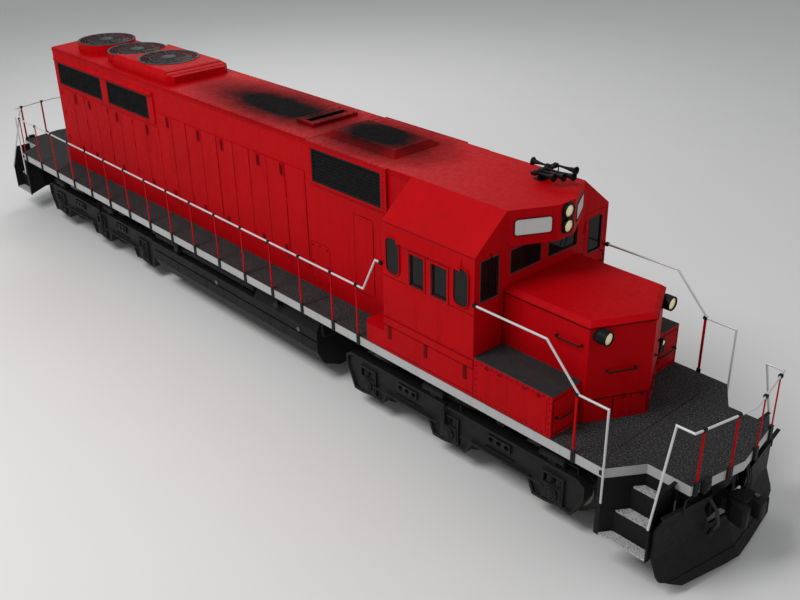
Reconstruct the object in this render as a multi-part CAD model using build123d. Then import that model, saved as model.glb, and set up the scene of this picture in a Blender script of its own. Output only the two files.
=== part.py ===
from build123d import *
from math import atan2, degrees
import os

os.makedirs("parts", exist_ok=True)

# Six-axle diesel locomotive. Millimetres. +X points to the short-hood end, +Y to the left, +Z up.
# The origin is on the floor below the middle of the frame; the wheel flanges stand on Z = 0.

# ---- Driving dimensions ----
# Frame and walkway
DECK_Z = 1650.0            # walkway surface above the floor
DECK_HALF_W = 1505.0
DECK_T = 10.0
SILL_H = 165.0             # depth of the pale edge sill
SILL_T = 40.0
SIDE_X = 9095.0            # end of the full-width walkway, where the step notch starts
NOTCH_X = 9435.0           # inner corner of the step notch
NOTCH_DEPTH = 515.0        # depth of the notch from the walkway's edge
NOTCH_Y = DECK_HALF_W - NOTCH_DEPTH
CORNER_X = 10110.0         # corner of the end platform
CORNER_Y = NOTCH_Y + 10.0
APEX_X = 10290.0           # tip of the shallow V at each end
END_PLATE_X = 9960.0       # face of the plate across each end
END_PLATE_T = 40.0
SILL_HALF_W = 380.0        # centre sill
SILL_BOTTOM_Z = 1250.0
FLANGE_T = 30.0
WEB_RECESS = 110.0         # depth of the open channels beside the centre sill's web
BOLSTER_HALF_W = 1250.0
BOLSTER_L = 520.0
BOLSTER_Z = 1400.0
BEARER_T = 30.0
BEARER_X = (
    -8700.0, -7900.0, -4300.0, -3250.0, -1950.0, -650.0,
    650.0, 1950.0, 2950.0, 4500.0, 7600.0, 8700.0,
)
STEP_END_X = 9860.0        # plate that closes a stepwell towards the end
STEP_PLATE_T = 22.0

# Running gear
WHEEL_R = 508.0            # tread radius
FLANGE_H = 28.0
WHEEL_W = 140.0
BACK_TO_BACK = 1360.0
AXLE_R = 95.0
AXLE_HALF_L = 1120.0
BOGIE_FRONT_X = 6025.0     # swivel centres
BOGIE_REAR_X = -5775.0
OUTER_AXLE = 2050.0        # axle places from the swivel centre
MIDDLE_AXLE = -70.0
INNER_AXLE = -2050.0
SIDE_FRAME_Y = 1050.0      # inner face of a bogie's side frame
SIDE_FRAME_T = 210.0
RIM_W = 42.0               # raised rim of the cast side frame
WEB_INSET = 45.0           # how far the web lies behind the rim on both faces
CHORD_Z = 1010.0           # top of the side frame between the axles
PEDESTAL_Z = 317.0         # lowest tip of the pedestals
JAW = 170.0                # half width of the opening that holds a journal box
JAW_Z = 417.0
JAW_TOP_Z = 820.0
JOURNAL_Y = 1300.0         # outer face of the journal boxes
RUNNING_GAP = 0.5          # gap at shafts, pins and pivots
SEAT_GAP = 0.3
PIVOT_R = 160.0            # male centre plate under the frame
PIVOT_Z = 990.0            # floor of the bogie's bowl
BRAKE_R = 88.0             # brake cylinders on the side frames
MOTOR_R = 330.0            # traction motor housing
MOTOR_HALF_W = 470.0

# Long hood
HOOD_HALF_W = 875.0
ROOF_Z = 4440.0
HOOD_REAR_X = -7690.0
HOOD_REAR_APEX_X = -7860.0
HOOD_WALL = 45.0
PANEL_T = 8.0              # how far the closed doors stand proud of the hood
PANEL_GAP = 14.0
DOOR_T = 30.0
DOOR_GAP = 6.0             # clearance round a door that swings
HINGE_R = 9.0
DOOR_Z0 = 1990.0
DOOR_Z1 = 3500.0
DOOR_PITCH = 560.0
FILTER_BULGE = 50.0        # how far the filter housing stands out from the hood
FILTER_BULGE_Z = 3690.0

# Roof equipment
FAN_X = (-6575.0, -5155.0, -3800.0)
FAN_R = 605.0
FAN_GAP = 20.0
DRUM_R = 650.0
DRUM_T = 25.0
DRUM_H = 200.0
GUARD_T = 14.0
HATCH_H = 245.0
HATCH_HALF_W = 740.0

# Cab and short hood
CAB_REAR_X = 4730.0
CAB_FRONT_X = 6690.0
CAB_EAVE_Z = 3910.0
ROOF_FLAT_Y = 860.0        # half width of the level part of the cab roof
CAB_WALL = 60.0
CAB_FLOOR_Z = 2250.0
BOW_X = 7065.0             # flat centre of the roof bow that carries the headlights
BOW_HALF_W = 175.0
BOW_Z = 3890.0
NOSE_X = 8250.0            # corners of the short hood
NOSE_APEX_X = 8715.0
NOSE_Z = 3260.0
NOSE_CHAMFER = 75.0
BOX_X = 8175.0             # front of the battery boxes beside the short hood
BOX_Z = 2328.0
BOX_EDGE = 5.0             # how far the boxes stand in from the walkway's edge
TREAD_T = 8.0

# Rails and posts
RAIL_R = 17.0
RAIL_OUT = 12.0            # the side rails run this far outside the sill
RAIL_Z = 2585.0
END_RAIL_Z = 2505.0
UPPER_RAIL_Z = 3195.0      # rails over the boxes beside the short hood
RAIL_FOOT_Z = 1085.0
POST_W = 40.0              # flat stanchions
POST_T = 14.0
POST_FIRST_X = -8861.0
POST_PITCH = 876.5
POST_COUNT = 15
SHOE_W = 60.0              # bracket that holds a stanchion to the sill
SHOE_T = 20.0

# Couplers
COUPLER_Z = 905.0
COUPLER_FACE_X = 10605.0
COUPLER_PIN_X = 9700.0
COUPLER_PIN_R = 40.0
COUPLER_ROOM = 400.0       # half width left free beside a coupler's head

PARTS = {}


# ---- Shapes used throughout ----
def block(x0, x1, y0, y1, z0, z1):
    """A box between two corners."""
    return Pos((x0 + x1) / 2, (y0 + y1) / 2, (z0 + z1) / 2) * Box(x1 - x0, y1 - y0, z1 - z0)


def outlined(points, radius=0.0, rounded=()):
    """A closed outline as a face; the corners numbered in rounded get the radius."""
    face = make_face(Polyline(*points, close=True))
    if not rounded:
        return face
    corners = [Vector(*points[i]) for i in rounded]
    chosen = [v for v in face.vertices() if any((Vector(v.X, v.Y) - c).length < 1 for c in corners)]
    return fillet(chosen, radius)


def prism_x(face, x0, x1):
    """A (y, z) outline extruded from x0 to x1."""
    face = outlined(face) if isinstance(face, (list, tuple)) else face
    return extrude(Plane.YZ.offset(x0) * face, x1 - x0)


def prism_y(face, y0, y1):
    """An (x, z) outline extruded from y0 to y1."""
    face = outlined(face) if isinstance(face, (list, tuple)) else face
    return extrude(Plane((0, y1, 0), x_dir=(1, 0, 0), z_dir=(0, -1, 0)) * face, y1 - y0)


def prism_z(face, z0, z1):
    """An (x, y) outline extruded from z0 to z1."""
    face = outlined(face) if isinstance(face, (list, tuple)) else face
    return extrude(Plane.XY.offset(z0) * face, z1 - z0)


def disc(x, y, z, radius, height):
    """An upright round bar."""
    return Pos(x, y, z) * extrude(Circle(radius), height)


def bar_x(x0, x1, y, z, radius):
    """A round bar along X."""
    return Pos(x0, y, z) * Rot(0, 90, 0) * extrude(Circle(radius), x1 - x0)


def bar_y(x, y0, y1, z, radius):
    """A round bar along Y."""
    return Pos(x, y0, z) * Rot(-90, 0, 0) * extrude(Circle(radius), y1 - y0)


def turned_x(profile):
    """A solid of revolution about X from (x, radius) pairs; the first and last lie on the axis."""
    return revolve(outlined(profile), Axis.X)


def rod(start, end, radius):
    """A round bar between two points."""
    start, end = Vector(start), Vector(end)
    span = end - start
    return Plane(start, z_dir=span) * extrude(Circle(radius), span.length)


def pipe(points, radius):
    """Straight round bars along a route, each cut to a mitre where it meets the next."""
    points = [Vector(*point) for point in points]
    ways = [(end - start).normalized() for start, end in zip(points, points[1:])]
    bars = []
    for i, way in enumerate(ways):
        start, end = points[i], points[i + 1]
        reach = 2 * radius
        first = reach if i else 0
        last = reach if i < len(ways) - 1 else 0
        bar = rod(start - way * first, end + way * last, radius)
        if first:
            bar = split(bar, Plane(start, z_dir=ways[i - 1] + way), keep=Keep.TOP)
        if last:
            bar = split(bar, Plane(end, z_dir=way + ways[i + 1]), keep=Keep.BOTTOM)
        bars.append(bar)
    return bars


def both_sides(*shapes):
    """The shapes and their mirror images across the centre line."""
    return list(shapes) + [mirror(shape, Plane.XZ) for shape in shapes]


def both_ends(*shapes):
    """The shapes and their mirror images across the middle of the frame."""
    return list(shapes) + [mirror(shape, Plane.YZ) for shape in shapes]


def four_ways(*shapes):
    """The shapes at all four corners."""
    return both_ends(*both_sides(*shapes))


def add(name, *shapes):
    """Keeps the solids of one node."""
    solids = []
    for shape in shapes:
        items = shape if isinstance(shape, list) else [shape]
        for item in items:
            solids.extend(item.solids())
    PARTS[name] = Compound(children=solids)


# ---- Frame ----
UNDER_DECK_Z = DECK_Z - DECK_T
SILL_Z = DECK_Z - SILL_H
FRAME_X = CORNER_X - 60.0  # end of the centre sill
POCKET_X = 9300.0          # back of a draft pocket
POCKET_HALF_W = 320.0
POCKET_WALL = 70.0
POCKET_DROP = 190.0        # bottom of the pocket below the coupler's centre line
POCKET_ROOM = 130.0        # half height of the room inside
BEAM_Z = 700.0             # lower edge of the plate across each end


def deck_outline(inset=0.0):
    left_front = [(SIDE_X, DECK_HALF_W), (NOTCH_X, NOTCH_Y), (CORNER_X, CORNER_Y), (APEX_X, 0.0)]
    right_front = [(x, -y) for x, y in reversed(left_front[:-1])]
    front = left_front + right_front
    rear = [(-x, y) for x, y in reversed(front)]
    outline = outlined(front + rear)
    return offset(outline, -inset, kind=Kind.INTERSECTION) if inset else outline


def make_deck():
    add("walkway_deck", prism_z(deck_outline(), UNDER_DECK_Z, DECK_Z))
    add("edge_sill", prism_z(deck_outline() - deck_outline(SILL_T), SILL_Z, UNDER_DECK_Z))


def make_underframe():
    frame = block(-FRAME_X, FRAME_X, -SILL_HALF_W, SILL_HALF_W, SILL_BOTTOM_Z, UNDER_DECK_Z)
    # Open channels along both sides of the centre sill leave a web and two flanges.
    channel_x = POCKET_X - 150
    channel = block(
        -channel_x, channel_x,
        SILL_HALF_W - WEB_RECESS, SILL_HALF_W,
        SILL_BOTTOM_Z + FLANGE_T, UNDER_DECK_Z - FLANGE_T,
    )
    for side in both_sides(channel):
        frame -= side
    plate_r = BOLSTER_L / 2
    plate_z = SILL_BOTTOM_Z - 100
    for x in (BOGIE_FRONT_X, BOGIE_REAR_X):
        frame += block(x - plate_r, x + plate_r, -BOLSTER_HALF_W, BOLSTER_HALF_W, BOLSTER_Z, UNDER_DECK_Z)
        frame += disc(x, 0, plate_z, plate_r, SILL_BOTTOM_Z - plate_z + 1)
        frame += disc(x, 0, PIVOT_Z + SEAT_GAP, PIVOT_R, plate_z - PIVOT_Z - SEAT_GAP + 1)
    add("underframe", frame)

    # Cross-bearers carry the deck between the centre sill and the edge.
    bearers = []
    for x in BEARER_X:
        bearer = block(
            x - BEARER_T / 2, x + BEARER_T / 2,
            SILL_HALF_W, DECK_HALF_W - SILL_T,
            SILL_Z, UNDER_DECK_Z,
        )
        bearers += both_sides(bearer)
    add("cross_bearers", bearers)


def make_draft_pockets():
    pocket = block(
        POCKET_X, FRAME_X,
        -POCKET_HALF_W, POCKET_HALF_W,
        COUPLER_Z - POCKET_DROP, SILL_BOTTOM_Z,
    )
    beam = block(END_PLATE_X - END_PLATE_T, END_PLATE_X, -NOTCH_Y, NOTCH_Y, BEAM_Z, SILL_Z)
    beam -= block(
        END_PLATE_X - END_PLATE_T, END_PLATE_X,
        -SILL_HALF_W, SILL_HALF_W,
        SILL_BOTTOM_Z, SILL_Z,
    )
    pocket += beam
    room_y = POCKET_HALF_W - POCKET_WALL
    room_x = POCKET_X + POCKET_WALL
    pocket -= block(room_x, FRAME_X + 1, -room_y, room_y, COUPLER_Z - POCKET_ROOM, COUPLER_Z + POCKET_ROOM)
    pin = disc(COUPLER_PIN_X, 0, COUPLER_Z - POCKET_ROOM - 1, COUPLER_PIN_R, 2 * POCKET_ROOM + 2)
    add("draft_pockets", both_ends(pocket + pin))


# ---- Steps at the four corners ----
# Treads from the lowest up.  columns: z, outer edge from the walkway's edge, depth
TREAD_ROWS = ((564.0, 5.0, 170.0), (922.0, 190.0, 170.0), (1290.0, 375.0, 135.0))
TREADS = [(z, DECK_HALF_W - inset, DECK_HALF_W - inset - depth) for z, inset, depth in TREAD_ROWS]
STEP_T = 30.0
RISER_T = 12.0
WELL_LOW_Z = TREADS[0][0] - 40.0
WELL_TOP_Z = 1600.0        # level top edge of the plate beside the steps
WELL_FLANGE = 50.0
GUARD_W = 75.0             # outer strip of the stepwell beside the lowest tread


# The end rail's leg leans in from the outer edge of the same plate to this corner.  columns: x, y
END_CORNER = (9845.0, CORNER_Y + 74.0)
LEG_LEAN = (DECK_HALF_W - END_CORNER[1]) / (END_RAIL_Z - RAIL_FOOT_Z)


def leg_y(z):
    """Outer edge of the plate beside the steps, parallel to the leg that it carries."""
    return DECK_HALF_W - LEG_LEAN * (z - RAIL_FOOT_Z)


def notch_x(y):
    """Where the slanting edge of the step notch lies at this distance from the centre line."""
    return SIDE_X + (DECK_HALF_W - y) * (NOTCH_X - SIDE_X) / (DECK_HALF_W - NOTCH_Y)


def across_notch(y_outer, y_inner, sink=0.0):
    """Plan outline between the notch's slanting edge and the closing plate."""
    return [
        (notch_x(y_outer) - sink, y_outer),
        (notch_x(y_inner) - sink, y_inner),
        (STEP_END_X, y_inner),
        (STEP_END_X, y_outer),
    ]


def make_steps():
    t = STEP_PLATE_T
    slant = prism_z([
        (SIDE_X, DECK_HALF_W),
        (NOTCH_X, NOTCH_Y),
        (NOTCH_X - t, NOTCH_Y - 5),
        (SIDE_X - t, DECK_HALF_W),
    ], WELL_LOW_Z, SILL_Z)
    guard = block(SIDE_X - GUARD_W, SIDE_X, DECK_HALF_W - t / 2, DECK_HALF_W, WELL_LOW_Z, SILL_Z)
    inner = block(NOTCH_X - t, STEP_END_X + t, NOTCH_Y - t, NOTCH_Y, WELL_LOW_Z, SILL_Z)
    side_plate = [
        (NOTCH_Y - t, WELL_LOW_Z),
        (DECK_HALF_W, WELL_LOW_Z),
        (DECK_HALF_W, RAIL_FOOT_Z),
        (leg_y(WELL_TOP_Z), WELL_TOP_Z),
        (CORNER_Y, WELL_TOP_Z),
        (CORNER_Y, SILL_Z),
        (NOTCH_Y - t, SILL_Z),
    ]
    well = slant + guard + inner + prism_x(side_plate, STEP_END_X, STEP_END_X + t)
    well += block(
        STEP_END_X + t, STEP_END_X + WELL_FLANGE,
        CORNER_Y, leg_y(WELL_TOP_Z),
        WELL_TOP_Z - RISER_T, WELL_TOP_Z,
    )
    for (z, _, inner_y), upper in zip(TREADS, TREADS[1:] + [(SILL_Z + STEP_T, 0, 0)]):
        if inner_y - RISER_T > NOTCH_Y:
            riser = outlined(across_notch(inner_y, inner_y - RISER_T, sink=3.0))
            well += prism_z(riser, z, upper[0] - STEP_T)
    treads = [prism_z(across_notch(outer, inner_y), z - STEP_T, z) for z, outer, inner_y in TREADS]
    add("step_wells", four_ways(well))
    add("step_treads", four_ways(*treads))


# ---- Snowplow in front and plate behind ----
# Section of the mouldboard, set back from its foremost line.  columns: x, z
PLOW_SECTION = ((105.0, 1329.0), (0.0, 1039.0), (0.0, 601.0), (150.0, 215.0), (238.0, 92.0))
PLOW_X = 10180.0           # middle of the mouldboard at the centre line
PLOW_SWEEP = 9.1           # each half is turned back by this angle
PLOW_T = 36.0
PLOW_HALF_W = 1450.0
PLOW_LIP = 60.0
# Front outline of the left half.  columns: y, z
PLOW_OUTLINE = ((0.0, 80.0), (1111.0, 122.0), (1425.0, 265.0), (PLOW_HALF_W, 330.0), (PLOW_HALF_W, 1340.0))
# Room left for the coupler.  columns: y, z
PLOW_ROOM = ((COUPLER_ROOM, BEAM_Z), (530.0, 1000.0), (560.0, 1340.0))
PLOW_RIBS_Y = (640.0, 900.0)
WEAR_T = 14.0              # bar bolted along the plow's cutting edge


def swept(shape):
    """Sets a straight length of the left half of the plow at its place and sweep."""
    return Pos(PLOW_X, 0, 0) * Rot(0, 0, PLOW_SWEEP) * shape


def make_pilots():
    front = list(PLOW_SECTION)
    back = [(x - PLOW_T, z) for x, z in front[1:]]
    top_x, top_z = front[0]
    lip = [(top_x - 30, top_z - PLOW_T), (top_x - PLOW_LIP, top_z - 20), (top_x - PLOW_LIP, top_z)]
    start, length = -200.0, PLOW_HALF_W + 250
    board = prism_y(front + back[::-1] + lip, start, length)
    edge_top, edge_low = front[-2], front[-1]
    wear = [edge_top, (edge_top[0] + WEAR_T, edge_top[1]), (edge_low[0] + WEAR_T, edge_low[1]), edge_low]
    board += prism_y(wear, start, length)
    reach = (PLOW_X - PLOW_HALF_W, PLOW_X + PLOW_HALF_W)
    outline_top = PLOW_OUTLINE[-1][1]
    half = swept(board) & prism_x(PLOW_OUTLINE + ((0.0, outline_top),), *reach)
    half -= prism_x(((-1.0, BEAM_Z),) + PLOW_ROOM + ((-1.0, outline_top),), *reach)
    behind = swept(prism_y(back + [(-PLOW_X / 10, back[-1][1]), (-PLOW_X / 10, back[0][1])], start, length))
    for y in PLOW_RIBS_Y:
        half += behind & block(END_PLATE_X, APEX_X, y, y + 30, BEAM_Z + 5, back[0][1] - 5)
    add("plow", half + mirror(half, Plane.XZ))

    low_y, low_z = 0.78 * NOTCH_Y, 330.0
    plate = prism_x([
        (-NOTCH_Y, SILL_Z), (NOTCH_Y, SILL_Z),
        (NOTCH_Y, low_z + 190), (low_y, low_z),
        (-low_y, low_z), (-NOTCH_Y, low_z + 190),
    ], -END_PLATE_X - STEP_PLATE_T, -END_PLATE_X)
    plate -= block(
        -END_PLATE_X - STEP_PLATE_T, -END_PLATE_X,
        -COUPLER_ROOM, COUPLER_ROOM,
        BEAM_Z, SILL_Z,
    )
    add("rear_pilot", plate)


# ---- Under the frame ----
TANK_X0, TANK_X1 = -2950.0, 2750.0
TANK_HALF_W = 1390.0
TANK_R = 70.0
RESERVOIR_R = 125.0
RESERVOIR_X0, RESERVOIR_X1 = -2950.0, 750.0
RESERVOIR_Y = 1215.0
# Domed end of a reservoir, in radii.  columns: distance from the end, radius
RESERVOIR_DOME = ((0.0, 0.0), (0.0, 0.55), (0.17, 0.88), (0.35, 1.0))
RESERVOIR_FEET_X = (-2500.0, -1100.0, 300.0)
SHELF_Z = 1110.0           # shelf in the tank's shoulder that carries a reservoir
SHELF_Y = 1060.0
SHELF_ROOM = 60.0
# Half section of the tank.  columns: y, z
TANK_SECTION = (
    (900.0, 272.0), (1250.0, 430.0), (TANK_HALF_W, 700.0), (TANK_HALF_W, 1120.0),
    (1250.0, 1390.0), (SILL_HALF_W, 1390.0), (SILL_HALF_W, SILL_BOTTOM_Z),
)
GROOVE_Z0, GROOVE_Z1, GROOVE_T = 905.0, 945.0, 25.0


def make_tank():
    left = list(TANK_SECTION)
    outline = left + [(-y, z) for y, z in reversed(left)]
    last = len(outline) - 1
    tank = prism_x(outlined(outline, TANK_R, rounded=(0, 1, 2, last - 2, last - 1, last)), TANK_X0, TANK_X1)
    shelf = block(
        TANK_X0, RESERVOIR_X1 + SHELF_ROOM,
        SHELF_Y, TANK_HALF_W + 1,
        SHELF_Z, TANK_SECTION[4][1] + 1,
    )
    groove = block(TANK_X0, TANK_X1, TANK_HALF_W - GROOVE_T, TANK_HALF_W + 1, GROOVE_Z0, GROOVE_Z1)
    for cut in both_sides(shelf, groove):
        tank -= cut
    add("fuel_tank", tank)

    centre_z = SHELF_Z + RESERVOIR_R + 20
    dome = [(x * RESERVOIR_R, r * RESERVOIR_R) for x, r in RESERVOIR_DOME]
    profile = [(RESERVOIR_X0 + x, r) for x, r in dome] + [(RESERVOIR_X1 - x, r) for x, r in reversed(dome)]
    tube = Pos(0, RESERVOIR_Y, centre_z) * turned_x(profile)
    for x in RESERVOIR_FEET_X:
        tube += block(x - 30, x + 30, RESERVOIR_Y - 90, RESERVOIR_Y + 90, SHELF_Z, centre_z)
    add("air_reservoirs", both_sides(tube))


# ---- Long hood ----
HOOD_TOP = ROOF_Z - HOOD_WALL
# Radiator and filter openings.  columns: x0, x1, z0, z1
RADIATORS = ((-7480.0, -5370.0, 3615.0, 4120.0), (-5090.0, -3320.0, 3615.0, 4120.0))
FILTER = (2270.0, 4060.0, 3735.0, 4335.0)
FILTER_X0, FILTER_X1 = 2140.0, 4190.0
FRAME_BAND = (-7580.0, -3090.0, 3555.0, 4228.0)    # raised border round both radiators
BORDER_T = 22.0
AWNING = 70.0              # lip over the radiators
GUTTER = 16.0
# Pairs of engine doors that swing, hinged on the outer edges.  columns: x0, x1
DOOR_PAIRS = ((-1900.0, -780.0), (300.0, 1420.0))
# Pairs of doors that stay shut
SHUT_COUNT = 5
SHUT_ENDS = [DOOR_PAIRS[0][0] - 2 * DOOR_PITCH * i for i in range(SHUT_COUNT + 1)]
SHUT_PAIRS = [(DOOR_PAIRS[0][1], DOOR_PAIRS[1][0])] + list(zip(SHUT_ENDS[1:], SHUT_ENDS))
# Single doors, a tall one and a low one.  columns: x0, x1, z0, z1
LONE_DOORS = (
    (1434.0, 2000.0, DOOR_Z0, DOOR_Z1),
    (3030.0, 3500.0, 2010.0, 3560.0),
    (3620.0, 4130.0, 2010.0, 2800.0),
)
HINGE_Z = (DOOR_Z0 + 250.0, DOOR_Z1 - 250.0)
HINGE_L = 60.0             # length of each third of a hinge


def knuckle(x, z0, z1, towards, seat_y):
    """A hinge barrel outside the doors, with a strap along X to the face that it is fixed to."""
    axis_y = HOOD_HALF_W + PANEL_T + HINGE_R + SEAT_GAP
    barrel = disc(x, axis_y, z0, HINGE_R, z1 - z0)
    strap_x = sorted((x, x + HINGE_L * towards))
    return barrel + block(strap_x[0], strap_x[1], seat_y, HOOD_HALF_W + PANEL_T + HINGE_R, z0, z1)


def hood_outline():
    w = HOOD_HALF_W
    return [(CAB_REAR_X, w), (HOOD_REAR_X, w), (HOOD_REAR_APEX_X, 0), (HOOD_REAR_X, -w), (CAB_REAR_X, -w)]


def make_hood_sides():
    inner_y, face_y = HOOD_HALF_W - HOOD_WALL, HOOD_HALF_W
    side = block(HOOD_REAR_X, CAB_REAR_X, inner_y, face_y, DECK_Z, HOOD_TOP)
    side += block(FILTER_X0, FILTER_X1, inner_y, face_y + FILTER_BULGE, FILTER_BULGE_Z, HOOD_TOP)
    x0, x1, z0, z1 = FRAME_BAND
    side += block(x0, x1, face_y - 1, face_y + BORDER_T, z0, z1)
    side += prism_x([
        (face_y, z1 - 12), (face_y + AWNING, z1 - 52), (face_y + AWNING, z1 - 40), (face_y, z1 + 25),
    ], x0, x1)
    side += block(HOOD_REAR_X, CAB_REAR_X, face_y - 1, face_y + GUTTER, HOOD_TOP - 30, HOOD_TOP)
    for near, far in SHUT_PAIRS:
        middle = (near + far) / 2
        for x0, x1 in ((near + PANEL_GAP, middle), (middle + PANEL_GAP, far)):
            side += block(x0, x1, face_y - 1, face_y + PANEL_T, DOOR_Z0, DOOR_Z1)
    for x0, x1, z0, z1 in LONE_DOORS:
        side += block(x0, x1, face_y - 1, face_y + PANEL_T, z0, z1)
    for x0, x1, z0, z1 in (FILTER,) + RADIATORS:
        side -= block(x0, x1, 0, 2 * HOOD_HALF_W, z0, z1)
    for x0, x1 in DOOR_PAIRS:
        side -= block(x0, x1, 0, 2 * HOOD_HALF_W, DOOR_Z0, DOOR_Z1)
        for hinge_x, outward in ((x0 + DOOR_GAP, -1), (x1 - DOOR_GAP, 1)):
            for z in HINGE_Z:
                side += knuckle(hinge_x, z - 2 * HINGE_L, z - HINGE_L - SEAT_GAP, outward, face_y - 1)
    add("hood_sides", both_sides(side))


def make_hood_ends():
    bulge_y = HOOD_HALF_W + FILTER_BULGE
    roof = prism_z(hood_outline(), HOOD_TOP, ROOF_Z)
    roof += block(FILTER_X0, FILTER_X1, -bulge_y, bulge_y, HOOD_TOP, ROOF_Z)
    for x in FAN_X:
        roof -= disc(x, 0, HOOD_TOP - 1, FAN_R + FAN_GAP, HOOD_WALL + 2)
    add("hood_roof", roof)
    inner_y = HOOD_HALF_W - HOOD_WALL
    rear = [
        (HOOD_REAR_X, HOOD_HALF_W), (HOOD_REAR_APEX_X, 0), (HOOD_REAR_X, -HOOD_HALF_W),
        (HOOD_REAR_X, -inner_y), (HOOD_REAR_APEX_X + HOOD_WALL, 0), (HOOD_REAR_X, inner_y),
    ]
    add("hood_rear", prism_z(rear, DECK_Z, HOOD_TOP))


def make_hood_doors():
    leaves = []
    for x0, x1 in DOOR_PAIRS:
        middle = (x0 + x1) / 2
        for near, far in ((x0, middle), (middle, x1)):
            leaf = block(
                near + DOOR_GAP, far - DOOR_GAP,
                HOOD_HALF_W + PANEL_T - DOOR_T, HOOD_HALF_W + PANEL_T,
                DOOR_Z0 + DOOR_GAP, DOOR_Z1 - DOOR_GAP,
            )
            hinge_x, inward = (near + DOOR_GAP, 1) if near == x0 else (far - DOOR_GAP, -1)
            for z in HINGE_Z:
                leaf += knuckle(hinge_x, z - HINGE_L, z + HINGE_L, inward, HOOD_HALF_W + PANEL_T - 1)
            leaves.append(leaf)
    for number, leaf in enumerate(leaves, start=1):
        add(f"hood_door_right_{number}", mirror(leaf, Plane.XZ))
        add(f"hood_door_left_{number}", leaf)


# Grilles of tilted slats.  columns: opening, face beyond the hood's side, number of slats
GRILLES = ((RADIATORS[0], 12.0, 10), (RADIATORS[1], 12.0, 10), (FILTER, FILTER_BULGE - 6.0, 12))
GRILLE_T = 80.0
GRILLE_EDGE = 32.0
SLAT_W = 48.0
SLAT_T = 7.0
SLAT_TILT = -38.0


def make_grilles():
    """Framed panels of tilted slats, seated in their openings."""
    pieces = []
    for (x0, x1, z0, z1), proud, slats in GRILLES:
        face_y = HOOD_HALF_W + proud
        grille = block(x0, x1, face_y - GRILLE_T, face_y, z0, z1)
        grille -= block(
            x0 + GRILLE_EDGE, x1 - GRILLE_EDGE,
            face_y - GRILLE_T, face_y,
            z0 + GRILLE_EDGE, z1 - GRILLE_EDGE,
        )
        pitch = (z1 - z0 - 2 * GRILLE_EDGE) / slats
        for i in range(slats):
            z = z0 + GRILLE_EDGE + (i + 0.5) * pitch
            slat = Rot(SLAT_TILT, 0, 0) * Box(x1 - x0 - 2 * GRILLE_EDGE + 2, SLAT_W, SLAT_T)
            grille += Pos((x0 + x1) / 2, face_y - GRILLE_T / 2 + 8, z) * slat
        pieces += both_sides(grille)
    add("side_grilles", pieces)


# ---- Roof equipment ----
HATCH_X0, HATCH_X1 = -4900.0, -2590.0
HATCH_CORNER = 130.0
HATCH_SLOPE = 90.0
LOW_HATCH = (3045.0, 1810.0, 1040.0, 90.0)     # middle x, length, width, height
LOW_HATCH_SLOPE = 125.0
STACK = (1205.0, 1700.0, -400.0, 620.0, 60.0)  # x0, x1, y0, y1, height
STACK_SLOT = (1385.0, 1535.0, 80.0)            # x0, x1, margin at the ends
SPOKES = 8
MOTOR_CAP_R = 150.0
FAN_MOTOR_R = 110.0
FAN_MOTOR_H = 60.0
FAN_H = 110.0
FAN_HUB_R = 120.0
BLADES = 8
BLADE_W = 190.0
BLADE_T = 10.0
BLADE_TILT = 28.0
GUARD_SIDES = 32


def make_hatches():
    w, x0, x1 = HATCH_HALF_W, HATCH_X0, HATCH_X1
    top = ROOF_Z + HATCH_H
    half_plan = [(x0, -w), (x1 - HATCH_CORNER, -w), (x1, HATCH_CORNER - w)]
    plan = half_plan + [(x, -y) for x, y in reversed(half_plan)]
    half_across = [(w, ROOF_Z), (w, top - HATCH_SLOPE), (w - HATCH_SLOPE, top)]
    across = half_across + [(-y, z) for y, z in reversed(half_across)]
    along = [(x0, ROOF_Z), (x1, ROOF_Z), (x1, top - HATCH_SLOPE), (x1 - 3 * HATCH_SLOPE, top), (x0, top)]
    hatch = prism_z(plan, ROOF_Z, top) & prism_x(across, x0, x1) & prism_y(along, -w, w)
    hatch -= disc(FAN_X[2], 0, ROOF_Z - 1, FAN_R + FAN_GAP, HATCH_H + 2)
    hatch -= disc(FAN_X[1], 0, ROOF_Z - 1, DRUM_R, HATCH_H + 2)
    # Two grooves cross the slope at the front.
    for x in (x1 - 70, x1 - 190):
        hatch -= block(x - 14, x + 14, -w, w, top - 72, top + 1)

    x, length, width, height = LOW_HATCH
    slope = 2 * LOW_HATCH_SLOPE
    low = loft([
        Plane.XY.offset(ROOF_Z) * Pos(x, 0) * Rectangle(length, width),
        Plane.XY.offset(ROOF_Z + height) * Pos(x, 0) * Rectangle(length - slope, width - slope),
    ])
    add("roof_hatches", hatch, low)

    x0, x1, y0, y1, height = STACK
    stack = block(x0, x1, y0, y1, ROOF_Z, ROOF_Z + height)
    slot_x0, slot_x1, margin = STACK_SLOT
    add("exhaust_stack", stack - block(slot_x0, slot_x1, y0 + margin, y1 - margin, ROOF_Z, ROOF_Z + height))


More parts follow.
